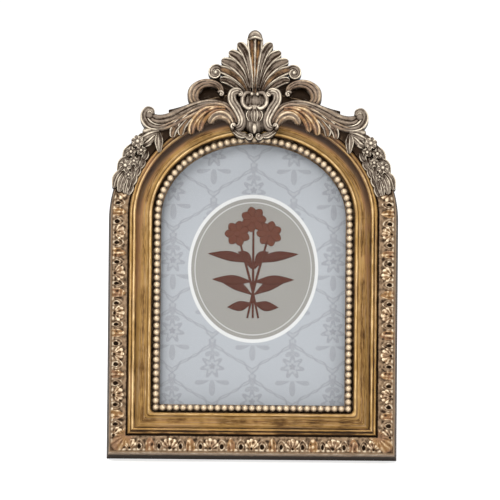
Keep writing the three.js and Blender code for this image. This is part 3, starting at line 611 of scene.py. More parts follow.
def liner_body(size):
    """The gold liner: inner roll, hollow cove, crease and a fillet of two beads, swept round.

    The roll is an arc, and the cove a quarter of an ellipse. Corners are round at the roll and sharp further
    out. The smoke mark is painted shade on the outer cove, where it faces down: it is highest over the arch
    and fades down the sides.
    """
    run, along = stations(90, 70, 170, crowded=True)
    turn = spread(math.pi, 0.15 * math.pi, 12)
    roll = [ROLL_OUT + ROLL_RADIUS * np.cos(turn), ROLL_HEIGHT + ROLL_RADIUS * np.sin(turn),
            0.3 + 0.62 * np.sin(turn) ** 2]
    part = spread(0, 1, 30)[1:]
    cove = [roll[0][-1] + (COVE_END - roll[0][-1]) * part,
            COVE_TOP - COVE_DEPTH * np.sqrt(np.clip(1 - part ** 2, 0, 1)) + 0.6 * (1 - part) ** 4,
            0.8 - 0.36 * ease(part, 0.0, 0.3) + 0.18 * ease(part, 0.4, 0.8) - 0.5 * ease(part, 0.9, 1.0)]
    profile = [np.transpose(LINER_BASE), roll, cove, np.transpose(FILLET)]
    out, height, relief = np.concatenate(profile, axis=1)
    radius = np.clip(CORNER_RADIUS - 0.35 * (out - 2.8), 0, None)
    x, y = loop_line(size, out, run, along, radius)
    step = np.hypot(np.diff(x, axis=0, prepend=x[:1]), np.diff(y, axis=0, prepend=y[:1]))
    hollow, on_fillet = ease(out, 5.3, 7.3), ease(out, 8.1, 8.2)
    # The smoke mark is painted shade on the outer cove, highest over the arch and fading down the sides
    over = np.where(run == 2, np.sqrt(np.clip(np.sin(math.pi * along), 0, 1)), 0.0)
    beside = np.where(run == 2, 1.0, ease(y, 30.0, 78.0)) * (1 - over)
    # Painted shade: the relief is lowered along the bottom, where the cove faces up to the lamps, and a little on
    # the sides and over the arch
    dimmed_as_shade = np.select([run == 0, run == 1, run == 2], [0.12 + 0.25 * on_fillet, 0.06, 0.04 * over], 0.0)
    smoke = hollow * (over ** (1 + 3 * on_fillet) + 0.4 * beside * (1 - on_fillet))
    travelled = np.cumsum(step, axis=0)[:, STREAK_COLUMN, None]
    marks = {"relief": relief - dimmed_as_shade, "smoke": smoke, "across": out, "along": travelled}
    return sweep(size, run, along, out, height, marks, radius)


def pearl_places(size, out):
    """Places at an even pitch on the line at `out`, with one at each bottom corner."""
    run, along = stations(1, 200, 600)
    x, y = loop_line(size, out, run, along)
    x, y = x.ravel()[1:], y.ravel()[1:]
    x, y = np.append(x, -size.sight_half - out), np.append(y, size.sight_low - out)
    reached = np.append(0, np.cumsum(np.hypot(np.diff(x), np.diff(y))))
    count = round(reached[-1] / size.pearl_pitch)
    goal = spread(0, reached[-1], count + 1)
    bottom_count = round(2 * (size.sight_half + out) / size.pearl_pitch)
    bottom = spread(x[-1], x[0], bottom_count + 1)[1:-1]
    return (np.append(np.interp(goal, reached, x), bottom),
            np.append(np.interp(goal, reached, y), np.full(len(bottom), size.sight_low - out)))


PEARL_OUT = 1.25
STRING_HEIGHT = 8.35


def pearls_body(size):
    """The pearl course: one sphere at each place, joined by a thin string of elliptical section."""
    x, y = pearl_places(size, PEARL_OUT)
    radius = size.pearl / 2
    around, down = spread(0, TAU, 17)[:-1], spread(0, math.pi, 11)[1:-1]
    ring, level = np.sin(down)[:, None], np.cos(down)[:, None]
    sphere = grid(ring * np.cos(around), ring * np.sin(around), level) * radius
    centre = np.stack([x, y, np.full(len(x), size.ledge + 0.3 + radius)], axis=1)
    one = closed_grid(sphere, {"relief": 0.58 + 0.4 * np.clip(level, -0.8, 1)})
    count, many = len(one["points"]), len(centre)
    shift = (np.arange(many) * count)[:, None, None]
    points = (one["points"][None] + centre[:, None]).reshape(-1, 3)
    turn = spread(0, TAU, 9)[:-1]
    run, along = stations(40, 40, 120)
    string_out, string_height = PEARL_OUT + 0.85 * np.cos(turn), STRING_HEIGHT + 0.75 * np.sin(turn)
    string = sweep(size, run, along, string_out, string_height, {"relief": 0.46})
    beads = {"points": points, "quads": (one["quads"][None] + shift).reshape(-1, 4),
             "triangles": (one["triangles"][None] + shift).reshape(-1, 3),
             "marks": {"relief": np.tile(one["marks"]["relief"], many)}}
    return gather([beads, string])


# Carved ornament. Crest rows are [across, up from the crown, height over the border, half width], in mm
CREST_BACK = 7.5
LOBE_ACROSS = 21
LOBE_STEP = 0.28
EDGE_DROP = 0.35
WALL_TONES = [0.2, 0.1, 0.1, 0.2]


def crown_height(size):
    """Height of the arch's outer crown up the face."""
    return size.spring + size.arch_rise + size.face


def sideways(line):
    """Unit steps across a path, to its left."""
    ahead = np.gradient(line[:, :2], axis=0)
    ahead /= np.linalg.norm(ahead, axis=1, keepdims=True) + 1e-9
    return np.stack([-ahead[:, 1], ahead[:, 0]], axis=1)


def round_end(reach, half, least):
    """Share of the half width that is left so far from a path's end, as a quarter circle."""
    return np.sqrt(np.clip(1 - (1 - np.clip(reach / half, 0, 1)) ** 2, least, 1))


def smooth_rows(rows, count):
    """Rows on a smooth curve, read at even lengths: a span is a cubic that heads for the rows beside it."""
    rows = np.array(rows, float)
    padded = np.concatenate([2 * rows[:1] - rows[1:2], rows, 2 * rows[-1:] - rows[-2:-1]])
    when = spread(0, len(rows) - 1, 40 * (len(rows) - 1) + 1)
    span = np.minimum(when.astype(int), len(rows) - 2)
    part = (when - span)[:, None]
    before, start, end, after = (padded[span + k] for k in range(4))
    fine = start + 0.5 * part * (end - before + part * (
        2 * before - 5 * start + 4 * end - after + part * (3 * (start - end) + after - before)))
    reached = np.append(0, np.cumsum(np.hypot(*np.diff(fine[:, :2], axis=0).T)))
    goal = spread(0, reached[-1], count)
    return np.stack([np.interp(goal, reached, column) for column in fine.T], axis=1), goal


def lobe(size, rows, flutes=2, depth=0.5, gilt=0, round_root=False, fall=0.45, tone=1, tilt=0, reeds=0):
    """A carved lobe: a section carried along a smooth path, with round ends and dark walls to its back.

    Across the lobe, from -1 to 1, the height falls from the middle as a square. Flutes are hollows shaped as
    a sine, parted by sharp ridges that catch the rubbing. Reeds are round ridges shaped as the root of a
    sine, parted by narrow cuts. With neither, the section is half an ellipse.
    """
    rows = np.array(rows, float)
    length_guess = np.hypot(*np.diff(rows[:, :2], axis=0).T).sum()
    line, reached = smooth_rows(rows, int(np.clip(length_guess / LOBE_STEP, 12, 80)))
    half = np.maximum(line[:, 3], 0.05)
    shape = round_end(reached[-1] - reached, half[-1], 0.02)
    if round_root:
        shape = shape * round_end(reached, half[0], 0.02)
    aside = sideways(line)
    side = np.sin(spread(-math.pi / 2, math.pi / 2, LOBE_ACROSS))
    if reeds:
        swell = np.abs(np.sin(reeds * math.pi * (side + 1) / 2)) ** 0.6
        hollow = 0.4 + 0.6 * swell
        drop = fall * side ** 2 + depth * (1 - swell) / reeds + 0.3 * ease(np.abs(side), 0.9, 1.0)
        shine = 0.24 + 0.6 * swell ** 1.4
    elif flutes:
        between = np.abs(np.sin(flutes * math.pi * (np.clip(side / 0.84, -1, 1) + 1) / 2))
        hollow = ease(between, 0.35, 0.8)
        drop = fall * side ** 2 + depth * ease(between, 0.05, 0.9) / flutes
        drop = drop + 0.35 * ease(np.abs(side), 0.92, 1.0)
        shine = 1.08 - 0.92 * ease(between, 0.12, 0.62) + 0.24 * ease(between, 0.7, 1.0)
    else:
        hollow = np.zeros_like(side)
        drop = 1.0 - np.sqrt(np.clip(1 - np.abs(side) ** 2.2, 0, 1))
        shine = 0.22 + 0.58 * (1 - drop) ** 2
    # Painted light: the side to the path's left, mostly the upper side, is lighter and the other side darker, as
    # if lit from above
    shine = shine * (1.0 + 0.32 * side)
    wide = (half * shape)[:, None]
    crown = size.border_height + line[:, 2:3] - half[:, None] * 0.6 * (1 - shape[:, None])
    top = crown - wide * drop + tilt * wide * side
    strand = wide * np.append(side, side[[-1, -1, 0, 0]])
    x, y = (line[:, axis, None] + aside[:, axis, None] * strand for axis in (0, 1))
    edge = top[:, [-1, 0]] - EDGE_DROP
    back = np.minimum(CREST_BACK, edge - 0.2)
    height = np.concatenate([top, edge[:, :1], back, edge[:, 1:]], axis=1)
    # Painted shade: a lobe darkens towards its root, where it goes under the leaves about it, and reeded lobes
    # darken less
    root_shade = np.maximum(0.45 + 0.55 * ease(reached / reached[-1], 0.0, 0.35), 0.85 * bool(reeds))
    wall = np.tile(WALL_TONES, (len(line), 1))
    relief = np.concatenate([tone * shine * root_shade[:, None], wall], axis=1)
    copper = np.concatenate([gilt * hollow, np.zeros(4)])
    marks = {"relief": relief, "gilt": copper, "along": reached[:, None], "across": strand + line[0, 0] * 2}
    return closed_grid(grid(x, y + crown_height(size), height), marks)


def ball(size, x, y, rise, radius, tone=1.0):
    """A round bud: a hemisphere on a stem that goes down into what carries it."""
    turn, lift = spread(0, TAU, 21)[:-1], spread(0, math.pi / 2, 9)
    ring = radius * np.append(1.0, np.maximum(np.cos(lift), 0.04))[:, None]
    height = size.border_height + rise - radius + radius * np.sin(lift)
    height = np.append(CREST_BACK, height)[:, None]
    points = grid(x + ring * np.cos(turn), crown_height(size) + y + ring * np.sin(turn), height)
    relief = np.append([0, 0.15], tone * (0.25 + 0.65 * np.sin(lift[1:]) ** 1.6))[:, None]
    return closed_grid(points, {"relief": relief, "gilt": 0.0, "along": 0.0, "across": 0.0})


def volute(size, x, y, rise, radius, start, turns, hand, half, flutes=1):
    """A curled end: a lobe on a spiral whose radius shrinks evenly to a quarter, about a ball."""
    part = spread(0, 1, 12)
    angle = start + hand * TAU * turns * part
    reach = radius * (1 - 0.75 * part)
    x_row, y_row = x + reach * np.cos(angle), y + reach * np.sin(angle)
    rows = np.stack([x_row, y_row, rise + 0.6 * part, half * (1 - 0.4 * part)], axis=1)
    return [lobe(size, rows, flutes, 0.45), ball(size, x, y, rise + 0.8, radius * 0.36)]


def crest_half(size):
    """Right half of the crest."""
    leaf = partial(lobe, size)
    fronds = (
        (0.2, [0.9, 1.4, 1, 0.5], [1.7, 7, 1.1, 0.9], [2.7, 10.9, 1.4, 1.4], [4, 13.4, 1.9, 1.6],
         [5.6, 14.9, 2.3, 1.1]),
        (0.3, [1.3, 0.4, 0.6, 0.5], [2.4, 5.4, 0.7, 1], [3.9, 8.6, 0.9, 1.5], [5.9, 10.8, 1.4, 1.7],
         [8.5, 12, 1.9, 1.3]),
        (0.3, [1.7, -0.6, 0.2, 0.5], [3.1, 3.6, 0.3, 1], [5.1, 6.4, 0.5, 1.5], [7.7, 8.5, 1, 1.7],
         [10.9, 9.3, 1.6, 1.1]),
        (0.6, [2.2, -1.2, -0.2, 0.5], [3.9, 1.9, -0.1, 1], [6.3, 4.4, 0.1, 1.5], [9, 5.9, 0.6, 1.6],
         [12, 6.7, 1.2, 1.3]),
        (0.4, [3, -1.8, -0.6, 0.5], [5, 0.4, -0.5, 1], [7.4, 2.2, -0.3, 1.4], [9.6, 3.1, 0, 1.3],
         [11.4, 3, 0.3, 0.9]),
    )
    palmette = [
        *[leaf(rows, 1, 0.7, gilt, tilt=-0.1) for gilt, *rows in fronds],
        *volute(size, 12.7, 5.3, 1.3, 1.9, 2.4, 1.15, -1, 1.1),
        # Backing leaves of low tone: painted shade in the hollows behind the palmette
        leaf([[0, -2, -2, 2.5], [3.4, 3, -2, 3.4], [5.4, 6.4, -1.9, 2.8], [6.2, 9, -1.9, 1.6]],
             0, tone=0.2),
        leaf([[4, -1.5, -2.2, 2], [8, 1.2, -2.2, 2.4], [13.4, 3.2, -2.2, 2]], 0, tone=0.1),
    ]
    upper_scroll = [
        leaf([[10.8, -1.6, 1.2, 0.8], [11.3, 0.5, 1, 1], [14, 1.9, 1.2, 1.3], [17.2, 1.5, 1.5, 1.6],
              [19.5, -0.6, 1.8, 2], [19.7, -3.4, 1.8, 1.8], [18, -5.4, 1.5, 1.3]],
             depth=1.2, gilt=0.5, tone=0.7, reeds=3),
        # Backing leaves of no tone: painted shade in the hollows behind the scroll
        leaf([[8.6, -2.6, -2.8, 2.4], [14.5, -1.4, -2.8, 2.9], [19, -3.4, -2.8, 1.8]], 0, tone=0),
        leaf([[4.5, -2, -2.6, 2.4], [8.6, 0.4, -2.6, 2.4], [11.6, 1.8, -2.6, 1.6]], 0, tone=0),
        *volute(size, 10.9, -1.7, 1.5, 1.05, 0.4, 1, 1, 0.5, 0),
    ]
    bracket = [
        leaf([[4.4, -2.2, 2.5, 0.9], [5.3, -0.9, 2.6, 1.2], [7.1, -1.5, 2.9, 1.45], [7.2, -4, 3.1, 1.55],
              [5.4, -7, 3.2, 1.55], [4.1, -10, 3, 1.5], [4.5, -12.2, 2.6, 1.35], [6.2, -13, 2.2, 1.1]],
             depth=1.3, tone=0.88, reeds=3),
        *volute(size, 4.6, -1.9, 2.8, 0.85, 1.2, 1, 1, 0.45, 0),
        *volute(size, 6.7, -12.2, 2.4, 0.95, -1.6, 1, 1, 0.5, 0),
    ]
    cartouche = [
        leaf([[1, -1.5, 2.4, 0.45], [2.8, -1.5, 2.7, 0.6], [3.9, -3.2, 2.8, 0.7], [3.6, -5.4, 2.8, 0.7],
              [1.9, -6.5, 2.7, 0.6], [0.7, -5.8, 2.6, 0.45]], 0, tone=0.88),
        ball(size, 0.9, -1.8, 2.6, 0.65),
        leaf([[1, -6.8, 2, 0.5], [1.9, -8.6, 2.7, 0.95], [1.3, -10.6, 2.2, 0.6]], 1, 0.5, round_root=True),
        leaf([[6.6, -13.4, 1.4, 0.9], [4.4, -15, 1.3, 0.95], [2.6, -15, 1.3, 0.8]], 2, 0.6),
        *volute(size, 1.45, -15.4, 1, 1, 0.6, 1.1, -1, 0.55),
    ]
    reeded = (
        (0.8, 0.5, [7, -12, 1.8, 0.8], [8.4, -9.6, 2.4, 1.4], [11, -8.5, 2.7, 1.65], [13.4, -9.3, 2.4, 1.6],
         [14.7, -11.4, 1.4, 1.15]),
        (0.9, 0.8, [9.4, -6.6, 2.2, 0.8], [13, -6.9, 2.7, 1.4], [15.8, -8.8, 2.6, 1.6],
         [17.4, -11.4, 1.9, 1.4], [17.9, -13.8, 0.9, 1]),
        (0.9, 0.8, [12.2, -6.2, 2.3, 0.8], [16, -7.3, 2.9, 1.4], [18.6, -9.6, 2.7, 1.65],
         [20.2, -12.2, 1.9, 1.5], [20.5, -14.9, 0.8, 1.05]),
    )
    fluted = (
        (0.6, [17.4, -7, 2.2, 0.8], [20.6, -8.9, 2.5, 1.4], [22.9, -11.4, 2.1, 1.5],
         [23.7, -13.4, 1.4, 1.3], [23.7, -15.3, 0.5, 0.9]),
        (0.5, [20.8, -8, 2.1, 0.8], [23.8, -10.6, 2.3, 1.3], [25.7, -12.8, 1.8, 1.4],
         [26.4, -14.4, 1.1, 1.15], [26.5, -16, 0.4, 0.8]),
    )
    arm = [
        leaf([[5.9, -11.4, 1.6, 1], [7.8, -8, 2, 1.5], [11, -5.9, 2.2, 1.7], [14.8, -5.9, 2.3, 1.8],
              [19.2, -7.5, 2.4, 1.7], [23.6, -9.9, 2.2, 1.5], [28, -12.1, 1.8, 1.2],
              [31.6, -13.2, 1.6, 0.8]],
             depth=0.9, gilt=0.5, tone=0.75, reeds=2),
        leaf([[5.8, -8.6, 1.2, 0.6], [8.6, -5.7, 1.8, 0.8], [13.4, -4.5, 2.2, 0.9], [18.4, -5.3, 2.6, 1.1],
              [23.6, -7.7, 2.9, 1.4], [28, -9.8, 2.7, 1.6], [31.4, -10.3, 2.6, 1.7], [33.6, -9.2, 2.3, 1.5]],
             depth=0.8, gilt=0.35, tone=0.52, reeds=2),
        leaf([[28.6, -12.4, 1.8, 0.7], [31.6, -12.7, 2.2, 1], [34, -12, 2.5, 1.35],
              [35.5, -10.2, 2.7, 1.35], [35.6, -8.4, 2.8, 1.2], [34.6, -7.1, 2.8, 1],
              [33.2, -7.4, 2.8, 0.8], [32.9, -8.6, 2.7, 0.6]], 1, 0.6),
        ball(size, 34.1, -9, 2.9, 1.3, 0.5),
        *[leaf(rows, depth=depth, gilt=gilt, tone=0.82, reeds=2) for depth, gilt, *rows in reeded],
        *[leaf(rows, 1, 0.6, gilt, tone=0.95) for gilt, *rows in fluted],
        # Backing leaves of low tone: painted shade in the hollows behind the arm
        leaf([[27.8, -7, -1.6, 0.3], [23.4, -6.5, -1.8, 1.1], [17, -4.8, -2, 1.9]], 0, tone=0.3),
        leaf([[6.5, -8, -1.2, 1.6], [12, -6.6, -1.2, 2.2], [19, -8.4, -1.2, 2.4], [26, -11.6, -1.2, 2],
              [31, -13, -1.2, 1.6]], 0, tone=0.2),
    ]
    husks = (
        (1, [30.8, -13.8, 1.5, 0.6], [33.4, -13.5, 1.7, 1.1], [36.2, -14.2, 1.2, 0.9]),
        (2, [30.8, -14.3, 1.3, 0.6], [33.4, -15, 1.5, 1.2], [36, -16.4, 1, 0.9]),
        (2, [30.8, -14.8, 1.2, 0.6], [32.8, -16.4, 1.3, 1.1], [34.6, -18.2, 0.8, 0.8]),
    )
    husk = [
        *[leaf(rows, depth=0.8, tone=0.8, reeds=reeds) for reeds, *rows in husks],
        leaf([[30.9, -14.6, 1.7, 0.5], [30.9, -17.2, 1.9, 1.4], [30.7, -20.9, 0.8, 0.5]], 2, 0.8),
        # Backing leaf of low tone: painted shade behind the husk
        leaf([[30, -13.5, -1, 1.6], [32.4, -15, -1, 2.4], [34, -16.4, -1, 1.6]], 0, tone=0.15),
    ]
    return [*palmette, *upper_scroll, *bracket, *cartouche, *arm, *husk]


def crest_middle(size):
    """The crest's pieces on its middle line."""
    leaf = partial(lobe, size)
    return [
        leaf([[0, -1.6, 0.6, 0.7], [0, 2, 0.7, 0.8], [0, 6, 0.9, 1.2], [0, 10.5, 1.2, 2],
              [0, 14.5, 1.5, 2.6], [0, 18.4, 1.6, 2.6]], 2, 0.9, 0.75, fall=0),
        leaf([[-1.9, 16, 1.8, 0.5], [-1.3, 17.3, 2.5, 0.9], [0, 18, 2.9, 1.1], [1.3, 17.3, 2.5, 0.9],
              [1.9, 16, 1.8, 0.5]], 0, round_root=True, tone=0.75),
        leaf([[-2.4, 16, 2, 0.35], [0, 16.7, 3, 0.5], [2.4, 16, 2, 0.35]], 0, round_root=True),
        # Backing leaf of low tone: painted shade behind the palmette's middle
        leaf([[0, -2, -1.6, 2], [0, 6, -1.6, 2.6], [0, 12, -1.4, 2.6], [0, 16, -1.2, 1.8]], 0, tone=0.2),
        leaf([[0, -1.2, 1.2, 2.4], [0, -3.8, 1.9, 3.5], [0, -6.6, 1.4, 2.6]], 0, round_root=True, tone=0.6),
        leaf([[0, -0.4, 0.9, 3.4], [0, -3.8, 1.5, 4.4], [0, -7.4, 1, 3.4]],
             depth=0, round_root=True, fall=0.1, tone=0.6, reeds=1),
        leaf([[0, -6.6, 2.3, 0.6], [0, -8.6, 3.4, 1.3], [0, -11, 2.5, 0.7]], 2, 0.6, round_root=True),
        leaf([[0, -11, 1.8, 0.4], [0, -12.8, 2.4, 0.9], [0, -14.6, 1.4, 0.4]], 0, round_root=True),
        leaf([[0, 0, 0.2, 3], [0, -7, 1.5, 5], [0, -14.4, 0.7, 4.6]], 0, round_root=True),
    ]


def crest_body(size):
    """The whole crest."""
    half = crest_half(size)
    return gather([*crest_middle(size), *half, *[mirrored(part) for part in half]])


# Shoulder sprays. Insets start a little outside the casting's outline. A petal's rows are its reach, its
# lift in millimetres and its half width, with reach and half width as shares of the flower's radius.
SPRAY_OUT = 0.7
PETAL = ((0.2, -0.3, 0.22), (0.6, 0.15, 0.4), (1.0, -0.2, 0.36))


def on_shoulder(size, degrees, inset, rise, half):
    """A crest row on the arch's shoulder, from degrees round the arch and millimetres in from the edge."""
    x, y = loop_line(size, size.face + SPRAY_OUT - inset, np.array(2), np.array(degrees / 180))
    return [float(x), float(y) - crown_height(size), rise, half]


def floret(size, degrees, inset, rise, radius, petals):
    """A flower: petals round a bud, each a short lobe that leaves the middle and dips at its tip."""
    x, y, *_ = on_shoulder(size, degrees, inset, rise, radius)
    parts = [ball(size, x, y, rise + 0.35, radius * 0.34)]
    for turn in TAU * (np.arange(petals) + 0.25) / petals:
        ahead, up = radius * math.cos(turn), radius * math.sin(turn)
        rows = [[x + ahead * far, y + up * far, rise + lift, radius * half] for far, lift, half in PETAL]
        parts.append(lobe(size, rows, 1, 0.5))
    return parts


def spray_body(size):
    """A spray of florets and veined leaves that hangs down the right shoulder.

    A place is its degrees round the arch and how far it lies in from the edge. Broad leaves have a rise and
    a half width of their own at each place, and slips share theirs.
    """
    florets = ((35.6, 1.2, 2.3, 2.1, 6), (33.2, 3.9, 1.9, 1.7, 5), (30.2, 1.5, 2, 1.8, 5),
               (27.2, 3.9, 1.7, 1.6, 5), (23.4, 2.2, 2.1, 2.1, 6), (20, 4.4, 1.6, 1.4, 5))
    broad_leaves = (
        ((36, 3.2, 0.9, 1.1), (38.6, 3.6, 1.1, 1.5), (41.5, 4.4, 0.3, 0.6)),
        ((36, 1.6, 0.9, 1.1), (38.6, 1.4, 1.1, 1.5), (41.5, 1.8, 0.3, 0.6)),
        ((33.5, 0.8, 0.9, 1), (29.5, 0.5, 1.2, 1.5), (25.5, 0.9, 0.4, 0.6)),
        ((30.5, 4.4, 0.7, 1), (27, 5, 0.9, 1.4), (22.6, 5.2, 0.3, 0.6)),
        ((27.5, 2.2, 0.9, 1), (24.5, 0.8, 1.2, 1.4), (20, 0.9, 0.4, 0.6)),
        ((24.6, 3.8, 0.9, 1), (21.4, 5, 1, 1.4), (17, 5.3, 0.3, 0.6)),
        ((21.4, 2.2, 1.1, 1), (17.2, 1.2, 1.3, 1.5), (12.4, 1.2, 0.3, 0.6)),
        ((20.4, 3.4, 1.1, 1), (16.2, 3.2, 1.4, 1.5), (11, 3.2, 0.4, 0.6)),
        ((19.6, 4.6, 1, 1), (15.4, 5, 1.1, 1.4), (10.6, 5.2, 0.3, 0.6)),
    )
    slips = (
        ((34.6, 5.4), (32.2, 6), (29, 5.9)),
        ((30.6, 6), (28, 6.6), (24.8, 6.4)),
        ((26.2, 6), (23.4, 6.6), (20, 6.4)),
        ((21.6, 6), (18.8, 6.6), (15.4, 6.4)),
        ((16.8, 6), (13.8, 6.5), (10.4, 6.3)),
    )
    slip_sizes = ((0.4, 0.7), (0.7, 1.1), (0.1, 0.5))
    parts = [part for flower in florets for part in floret(size, *flower)]
    leaves = [(places, 2) for places in broad_leaves]
    leaves += [([place + more for place, more in zip(slip, slip_sizes)], 1) for slip in slips]
    parts += [lobe(size, [on_shoulder(size, *p) for p in places], flutes, 0.7) for places, flutes in leaves]
    return gather(parts)


# Picture pack
CARD_FRONT = 2.9
CARD_T = 0.4
CARD_SLACK = 0.3
OVAL_Y = 62.0
OVAL_HALF_WIDTH = 20.6
OVAL_HALF_HEIGHT = 23.6
CELL_WIDTH = 13.0
CELL_HEIGHT = 23.0


def arch_slab(size, out, low, high, rows=90, columns=24):
    """A flat plate with the arched outline at `out`: a row spans the outline's width at its height."""
    half, bottom = size.sight_half + out, size.sight_low - out
    rise = size.arch_rise + out
    straight = spread(bottom, size.spring, rows // 2)[:-1]
    turn = spread(0, math.pi / 2, rows // 2)[:-1]
    y = np.concatenate([straight, size.spring + rise * np.sin(turn)])
    wide = np.concatenate([np.full(len(straight), half), half * np.cos(turn)])
    side = np.concatenate([spread(-1, 1, columns), spread(1, -1, columns)])
    points = grid(wide[:, None] * side, y[:, None], np.repeat([high, low], columns))
    return closed_grid(points, {"card_x": points[:, :, 0], "card_y": points[:, :, 1]})


def rosette(x, y, reach, swing, petals):
    """1 inside a flower whose edge swings about its reach as the cosine of the angle, and 0 outside it."""
    away = (x * x + y * y) ** 0.5
    edge = (x.math("ARCTAN2", y) * petals).math("COSINE") * swing + reach
    return (edge - away).step(0.0, 0.3)


def printed_card(name):
    """Card printed tone on tone with a damask, and a plain oval inside two thin lines.

    The damask is a half-drop repeat. Its ribbons run on the square of a cosine, and each space between them
    holds a flower over a fan of leaves.
    """
    hue = hues()
    look = Finish(name, Roughness=0.55, Specular_IOR_Level=0.05)
    x, y = look.mark("card_x"), look.mark("card_y")
    column = (x / CELL_WIDTH).math("ROUND")
    across = (x - column * CELL_WIDTH).math("ABSOLUTE")
    row = (y - OVAL_Y) / CELL_HEIGHT + column * 0.5
    up = (row - row.math("ROUND")) * CELL_HEIGHT
    ogee = (up * (math.pi / CELL_HEIGHT)).math("COSINE") ** 2 * CELL_WIDTH
    apart = (across - ogee).math("ABSOLUTE") - (up * 2.4).math("SINE") * 0.35
    ribbon = (1 - apart.step(0.7, 1.0)) * (apart.step(0.15, 0.3) * 0.6 + 0.4)
    flower = rosette(across, up - 2.6, 3.3, 0.9, 7) - rosette(across, up - 2.6, 2.1, 0.5, 7) * 0.7
    heart = rosette(across, up - 2.6, 1.1, 0.2, 5)
    leaves = rosette(across, up * -1 - 1.2, 3.4, 2.6, 5) * (1 - up.step(-2.2, -1.8))
    crown = rosette(across, up - 7.4, 1.7, 1.1, 3)
    pattern = ribbon.math("MAXIMUM", flower + heart)
    pattern = pattern.math("MAXIMUM", leaves * 0.85).math("MAXIMUM", crown * 0.85)
    paper = look.noise(600.0)
    ground = look.mix(pattern * (0.3 + paper * 0.42), hue.card, hue.card_print)
    ring = ((x / OVAL_HALF_WIDTH) ** 2 + ((y - OVAL_Y) / OVAL_HALF_HEIGHT) ** 2) ** 0.5
    oval = look.mix(ring.step(0.985, 1.0), hue.medallion, ground)
    outer_line = ring.step(0.97, 0.98) * (1 - ring.step(1.02, 1.03))
    inner_line = ring.step(0.905, 0.91) * (1 - ring.step(0.92, 0.925)) * 0.6
    look.dress(Base_Color=look.mix(outer_line + inner_line, oval, hue.card_line))
    look.bump(paper, 0.1, 0.00005)
    return look.material


def ink(name):
    """Brown print with the card's fine tooth in it: the bloom mark takes it from leaf to flower."""
    hue = hues()
    look = Finish(name, Roughness=0.6, Specular_IOR_Level=0.05)
    bloom = look.mark("bloom") * (0.75 + look.noise(900.0) * 0.4)
    look.dress(Base_Color=look.mix(bloom, hue.sprig, hue.blush))
    return look.material


# Printed posy, in millimetres from the oval's middle before it is scaled. A leaf has its foot, reach and
# lift, a stem its lean and reach, and a petal's rows are reach and half width.
INK_T = 0.05
INK_LAYER = 0.006
POSY_SCALE = 1.4
POSY_LEAVES = ((-6, 7.5, 3), (-3, 9.5, 0.5), (-8, 6, -1), (0, 3.6, 4), (1.5, 10.5, 2))
POSY_STEMS = ((-0.42, 9), (0.42, 9), (0, 11.5))
POSY_PETALS = 7
POSY_PETAL = ((0.5, 0.3), (1.9, 0.95), (3.0, 0.7))


def print_leaf(rows, layer, bloom):
    """A flat printed leaf: a path with half widths and a round tip, a little over the layers before it."""
    line, reached = smooth_rows(POSY_SCALE * np.array(rows), 26)
    half = np.maximum(line[:, 2], 0.03)
    half = half * round_end(reached[-1] - reached, half.max(), 0.01)
    across = half[:, None] * np.concatenate([spread(-1, 1, 5), spread(1, -1, 5)])
    aside = sideways(line)
    x, y = (line[:, axis, None] + aside[:, axis, None] * across for axis in (0, 1))
    height = np.repeat([CARD_FRONT + INK_T + INK_LAYER * layer, CARD_FRONT - INK_T], 5)
    return closed_grid(grid(x, y + OVAL_Y, height), {"bloom": bloom})


def posy_body():
    """A printed posy: stems from a tie, with paired leaves, and a round flower on each stem."""
    leaves, flowers = [], []
    for hand in (-1, 1):
        for foot, reach, lift in POSY_LEAVES:
            middle = [hand * reach * 0.5, foot + lift * 0.7, 1.15]
            leaves.append([[hand * 0.3, foot, 0.15], middle, [hand * reach, foot + lift, 0.12]])
    for lean, reach in POSY_STEMS:
        x, y = math.sin(lean) * reach, math.cos(lean) * reach
        stem = [[-x * 0.35, -11.5, 0.22], [x * 0.1, -4, 0.28], [x * 0.6, y * 0.35, 0.26], [x, y, 0.2]]
        leaves.append(stem)
        for turn in TAU * np.arange(POSY_PETALS) / POSY_PETALS + lean:
            ahead, up = math.cos(turn), math.sin(turn)
            flowers.append([[x + ahead * reach, y + up * reach, half] for reach, half in POSY_PETAL])
        flowers.append([[x - 0.7, y, 0.5], [x, y, 0.9], [x + 0.7, y, 0.5]])
    printed = [(rows, 0.0) for rows in leaves] + [(rows, 1.0) for rows in flowers]
    return gather([print_leaf(rows, layer, bloom) for layer, (rows, bloom) in enumerate(printed)])


def clear_glass(name):
    """Picture glass: nearly clear, with a faint veil of handling marks."""
    look = Finish(name, IOR=1.45, Roughness=0.05)
    veil = look.noise(60.0, 5.0)
    look.dress(Base_Color=look.mix(veil, (0.86, 0.9, 0.92, 1), (0.93, 0.95, 0.96, 1)))
    look.dress(Roughness=0.03 + veil.step(0.5, 0.75) * 0.06, Alpha=0.004 + veil * 0.01)
    return look.material


# Back of the frame
def shaded(hue, times):
    """A colour made paler or darker, as a multiple of its light."""
    return tuple(min(1, part * times) for part in hue[:3]) + (1,)


def flocked(name):
    """Black flock on board: a short soft nap that lies in clouds."""
    hue = hues().flock
    look = Finish(name, Roughness=0.95, Sheen_Weight=0.35, Sheen_Roughness=0.5)
    nap, cloud = look.noise(5200.0, 2.0), look.noise(120.0)
    look.dress(Base_Color=look.mix((nap * 0.6 + cloud * 0.5).step(0.35, 0.8), hue, shaded(hue, 2.4)))
    look.bump(nap, 0.6, 0.0002)
    return look.material


def plated_steel(name):
    """Plated sheet steel: faint rolling lines, and dull spots from handling."""
    hue = hues().steel
    look = Finish(name, Metallic=0.95)
    rolled = {"Vector": look.place(), "Scale": (300.0, 6000.0, 6000.0)}
    spots, lines = look.noise(500.0), look.noise(1.0, 3.0, look.node("ShaderNodeMapping", {}, rolled))
    look.dress(Base_Color=look.mix((spots * 0.6 + lines * 0.4).step(0.35, 0.7), shaded(hue, 0.62), hue))
    look.dress(Roughness=0.26 + spots * 0.2 + lines * 0.08)
    look.bump(lines, 0.12, 0.00005)
    return look.material


def repaint(node, material):
    """Gives a CAD node that stays in the picture its finish."""
    node.data.materials.clear()
    node.data.materials.append(material)


